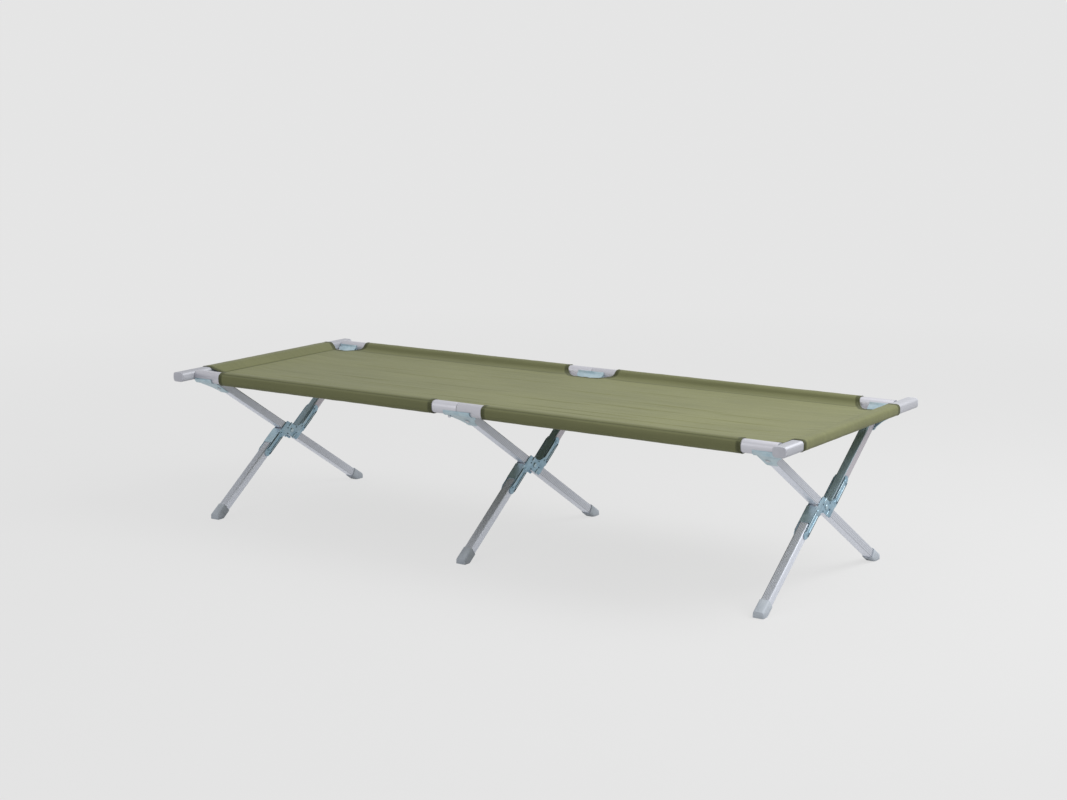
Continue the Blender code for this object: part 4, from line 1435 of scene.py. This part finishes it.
def binding(name: str, line: Sequence[Point], place: Place, material: Material,
            height: float = 0.0021, width: float = 0.0034, step: float = 0.004,
            from_seam: float = 0.05) -> bpy.types.Object:
    """Builds a rounded tape that runs along an edge of a shaped cloth.

    Args:
        name: The piece's name.
        line: The edge's points on the flat cut.
        place: The place function of the cloth.
        material: The cloth's material.
        height: The tape's thickness.
        width: Its width.
        step: The distance between its sections.
        from_seam: Its distance from the sewn lines, as its finish reads it.

    Returns:
        The tape, with the same attributes as the cloth.
    """
    route = Route(line)
    count = max(2, round(route.length / step))
    mesh = bmesh.new()
    cut, tape, seam = cloth_layers(mesh)
    spots = []
    for index in range(count + 1):
        flat, _ = route.at(route.length * index / count)
        spots.append((flat, *place(flat.x, flat.y)))
    rings = []
    for index, (flat, point, normal) in enumerate(spots):
        way = (spots[min(index + 1, count)][1] - spots[max(index - 1, 0)][1]).normalized()
        side = way.cross(normal).normalized()
        basis = Matrix((side, side.cross(way).normalized(), way)).transposed().to_4x4()
        verts = bmesh.ops.create_circle(mesh, cap_ends=False, radius=0.5, segments=8)["verts"]
        bmesh.ops.scale(mesh, verts=verts, vec=(width, height, 1.0))
        bmesh.ops.transform(mesh, verts=verts, matrix=Matrix.Translation(point) @ basis)
        for vert in verts:
            vert[tape], vert[seam] = 0.0, from_seam
        rings.append((verts, flat))
    for (first, flat), (second, _) in zip(rings, rings[1:]):
        edges = [edge for ring in (first, second)
                 for edge in {edge for vert in ring for edge in vert.link_edges
                              if edge.other_vert(vert) in ring}]
        lay_flat(bmesh.ops.bridge_loops(mesh, edges=edges)["faces"], cut, flat)
    for ring, flat in (rings[0], rings[-1]):
        lay_flat(bmesh.ops.contextual_create(mesh, geom=ring)["faces"], cut, flat)
    bmesh.ops.recalc_face_normals(mesh, faces=mesh.faces[:])
    return mesh_object(name, mesh, material, 60.0)


@dataclass
class EndSleeve:
    """The strip of cloth round an end bar, sewn to the main cloth's end."""

    side: End
    material: Material
    half_at_seam: float = CORNER_Y
    half_at_bar: float = 0.2650
    slope: float = 0.030
    seam_z: float = 0.4090
    wrinkle: float = 0.0005
    calm_margin: float = 0.02
    rule_across: float = 0.010
    rule_around: float = 0.0045
    bar_corner: Point = (0.0095, 0.005)
    bar_radius: float = 0.0089
    under_drop: float = 0.0036
    corner_round: float = 0.010

    def __post_init__(self) -> None:
        """Works out the wrap round the bar."""
        self.route = Route(TubeWrap((BAR_X, BAR_Z), self.bar_corner, self.bar_radius,
                                    (SEAM_X, self.seam_z), under_drop=self.under_drop).path())

    def place(self, around: float, across: float) -> tuple[Vector, Vector]:
        """Where a point of the flat strip lies on the bed.

        Args:
            around: Its distance from the sewn line, round the bar.
            across: Its place across the bed.

        Returns:
            The point and its outer side's normal.
        """
        point, normal = self.route.at(around)
        calm = eased(self.calm_margin, max(around, 0.0), self.route.length - around)
        wave = ripple(around * 14.0, across * 30.0, 9.0 * self.side.value)
        point = point + normal * calm * self.wrinkle * wave
        return (Vector((self.side.value * point.x, across, point.y)),
                Vector((self.side.value * normal.x, 0.0, normal.y)))

    def build(self) -> Pieces:
        """Builds the strip and its two bound ends, riding on the bar.

        Returns:
            The strip and its bindings.
        """
        length = self.route.length
        edge = rounded([(0.0, self.half_at_seam), (self.slope, self.half_at_bar),
                        (length - self.slope, self.half_at_bar), (length, self.half_at_seam)],
                       (0.0, self.corner_round, self.corner_round, 0.0))
        other_edge = [(x, -y) for x, y in edge]
        seams = [[(0.0, -self.half_at_seam), (0.0, self.half_at_seam)]]
        rules = (evenly(0.0, length, self.rule_around),
                 evenly(-self.half_at_bar, self.half_at_bar, self.rule_across))
        cut = ClothCut(edge + other_edge[::-1], [edge, other_edge], seams, rules)
        name = self.side.name.lower()
        pieces = cut.sewn(f"end_sleeve_cloth_{name}", f"end_binding_{name}", self.place,
                          self._outward, self.material)
        for item in pieces:
            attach(item, f"{name}_bar")
        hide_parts(f"end_sleeve_{name}")
        cut.area()
        return pieces

    def _outward(self, face: bmesh.types.BMFace) -> Vector:
        """The line from the bar's axis square out to a face."""
        middle = face.calc_center_median()
        return Vector((middle.x - self.side.value * BAR_X, 0.0, middle.z - BAR_Z))


# Studio

@dataclass(frozen=True)
class SoftLamp:
    """A square soft lamp, with the point that it faces, its side and its power in watts."""

    name: str
    place: Spot
    aim: Spot
    size: float
    power: float

    def hang(self) -> None:
        """Adds the lamp to the scene."""
        data = bpy.data.lights.new(self.name, "AREA")
        data.size, data.energy = self.size, self.power
        lamp = linked(self.name, data)
        lamp.location = self.place
        way = Vector(self.aim) - Vector(self.place)
        lamp.rotation_euler = way.to_track_quat("-Z", "Y").to_euler()


LAMPS = (SoftLamp("key_lamp", (2.4, 0.8, 2.8), (0.65, 0.0, 0.4), 2.2, 86.0),
         SoftLamp("front_lamp", (-0.6, -4.8, 2.0), (-0.2, 0.0, 0.2), 2.4, 20.0))


@dataclass
class Studio:
    """The pale floor, the soft light and the camera."""

    background: float = 0.785
    ambient: float = 0.58
    floor_glow: float = 0.85
    glow_from: float = 1.6
    glow_to: float = 4.5
    bounce: float = 0.50
    floor_tones: Point = (0.775, 0.79)
    floor_half: float = 30.0
    floor_drop: float = 0.0006
    focal_pixels: float = 1970.1
    picture_width: int = 1067
    sensor: float = 36.0
    camera_place: Spot = (2.957, -4.2871, 1.3561)
    camera_yaw: float = 0.6022
    camera_pitch: float = -0.1848
    camera_roll: float = -0.0044

    def build(self) -> None:
        """Builds the floor, the world, the lamps and the camera."""
        self._floor()
        self._world()
        for lamp in LAMPS:
            lamp.hang()
        self._camera()
        bpy.context.scene.view_settings.view_transform = "Standard"

    def _seen_directly(self, graph: Graph) -> Socket:
        """A mask of the rays that come straight, mirrored or through glass from the camera."""
        rays = graph.node("ShaderNodeLightPath").outputs
        return graph.math("ADD", graph.math("ADD", rays["Is Camera Ray"], rays["Is Glossy Ray"]),
                          rays["Is Transmission Ray"], clamp=True)

    def _floor(self) -> None:
        """A wide flat floor, seen mostly as the background's tone, with the bed's soft shadow."""
        material, graph, shader = new_material("studio_floor")
        place = graph.node("ShaderNodeTexCoord").outputs["Object"]
        tone = graph.spread(graph.noise(place, 3.0, 4.0), 0.3, 0.7)
        pale = graph.blend(tone, *((grey,) * 3 for grey in self.floor_tones))
        seen = self._seen_directly(graph)
        graph.fill(shader, {"Base Color": graph.blend(seen, (self.bounce,) * 3, pale),
                            "Roughness": 0.9, "Specular IOR Level": 0.1})
        glow = graph.node("ShaderNodeEmission", {"Strength": self.background}).outputs[0]
        away = graph.node("ShaderNodeVectorMath", {0: place}, operation="LENGTH").outputs["Value"]
        share = graph.times(seen, graph.spread(away, self.glow_from, self.glow_to,
                                               self.floor_glow, 1.0))
        both = graph.node("ShaderNodeMixShader", {0: share, 1: shader.outputs[0], 2: glow})
        graph.fill(material.node_tree.nodes["Material Output"], {"Surface": both.outputs[0]})
        mesh = bmesh.new()
        bmesh.ops.create_grid(mesh, x_segments=2, y_segments=2, size=self.floor_half)
        bmesh.ops.translate(mesh, verts=mesh.verts[:], vec=(0, 0, -self.floor_drop))
        mesh_object("studio_floor", mesh, material)

    def _world(self) -> None:
        """An even pale sky."""
        world = bpy.data.worlds.new("studio_world")
        bpy.context.scene.world = world
        world.use_nodes = True
        graph = Graph(world.node_tree)
        level = graph.spread(self._seen_directly(graph), 0.0, 1.0, self.ambient, self.background)
        graph.fill(world.node_tree.nodes["Background"],
                   {"Color": solid((1.0, 1.0, 1.0)), "Strength": level})

    def _camera(self) -> None:
        """The camera at the picture's place and angle."""
        data = bpy.data.cameras.new("camera")
        data.sensor_width = self.sensor
        data.lens = self.focal_pixels * self.sensor / self.picture_width
        data.clip_start, data.clip_end = 0.05, 200.0
        camera = linked("camera", data)
        bpy.context.scene.camera = camera
        turn = (Matrix.Rotation(self.camera_yaw, 4, "Z")
                @ Matrix.Rotation(math.pi / 2 + self.camera_pitch, 4, "X")
                @ Matrix.Rotation(self.camera_roll, 4, "Z"))
        camera.matrix_world = Matrix.Translation(self.camera_place) @ turn


def report(pieces: Iterable[bpy.types.Object]) -> None:
    """Logs the pieces that were made."""
    for piece in pieces:
        LOG.info("made %s", piece.name)


def main() -> None:
    """Dresses the frame, makes the cloth and sets up the studio."""
    logging.basicConfig(level=logging.INFO, format="%(name)s: %(message)s")
    effects = SharedEffects()
    MetalFrame(effects).dress()
    pressings = CrossingRibs(PAINTED_HIGHLIGHT_ZINC.build(effects), PAINTED_SHADE_ZINC.build(effects))
    for name, x in LEG_SETS.items():
        report(pressings.build(name, x))
    for leg in REEDED_LEGS:
        report(leg.build())
    report(BedCloth(OLIVE_CLOTH.build(effects)).build())
    sleeve_cloth = SLEEVE_CLOTH.build(effects)
    for side in End:
        report(EndSleeve(side, sleeve_cloth).build())
    Studio().build()


if __name__ == "__main__":
    main()
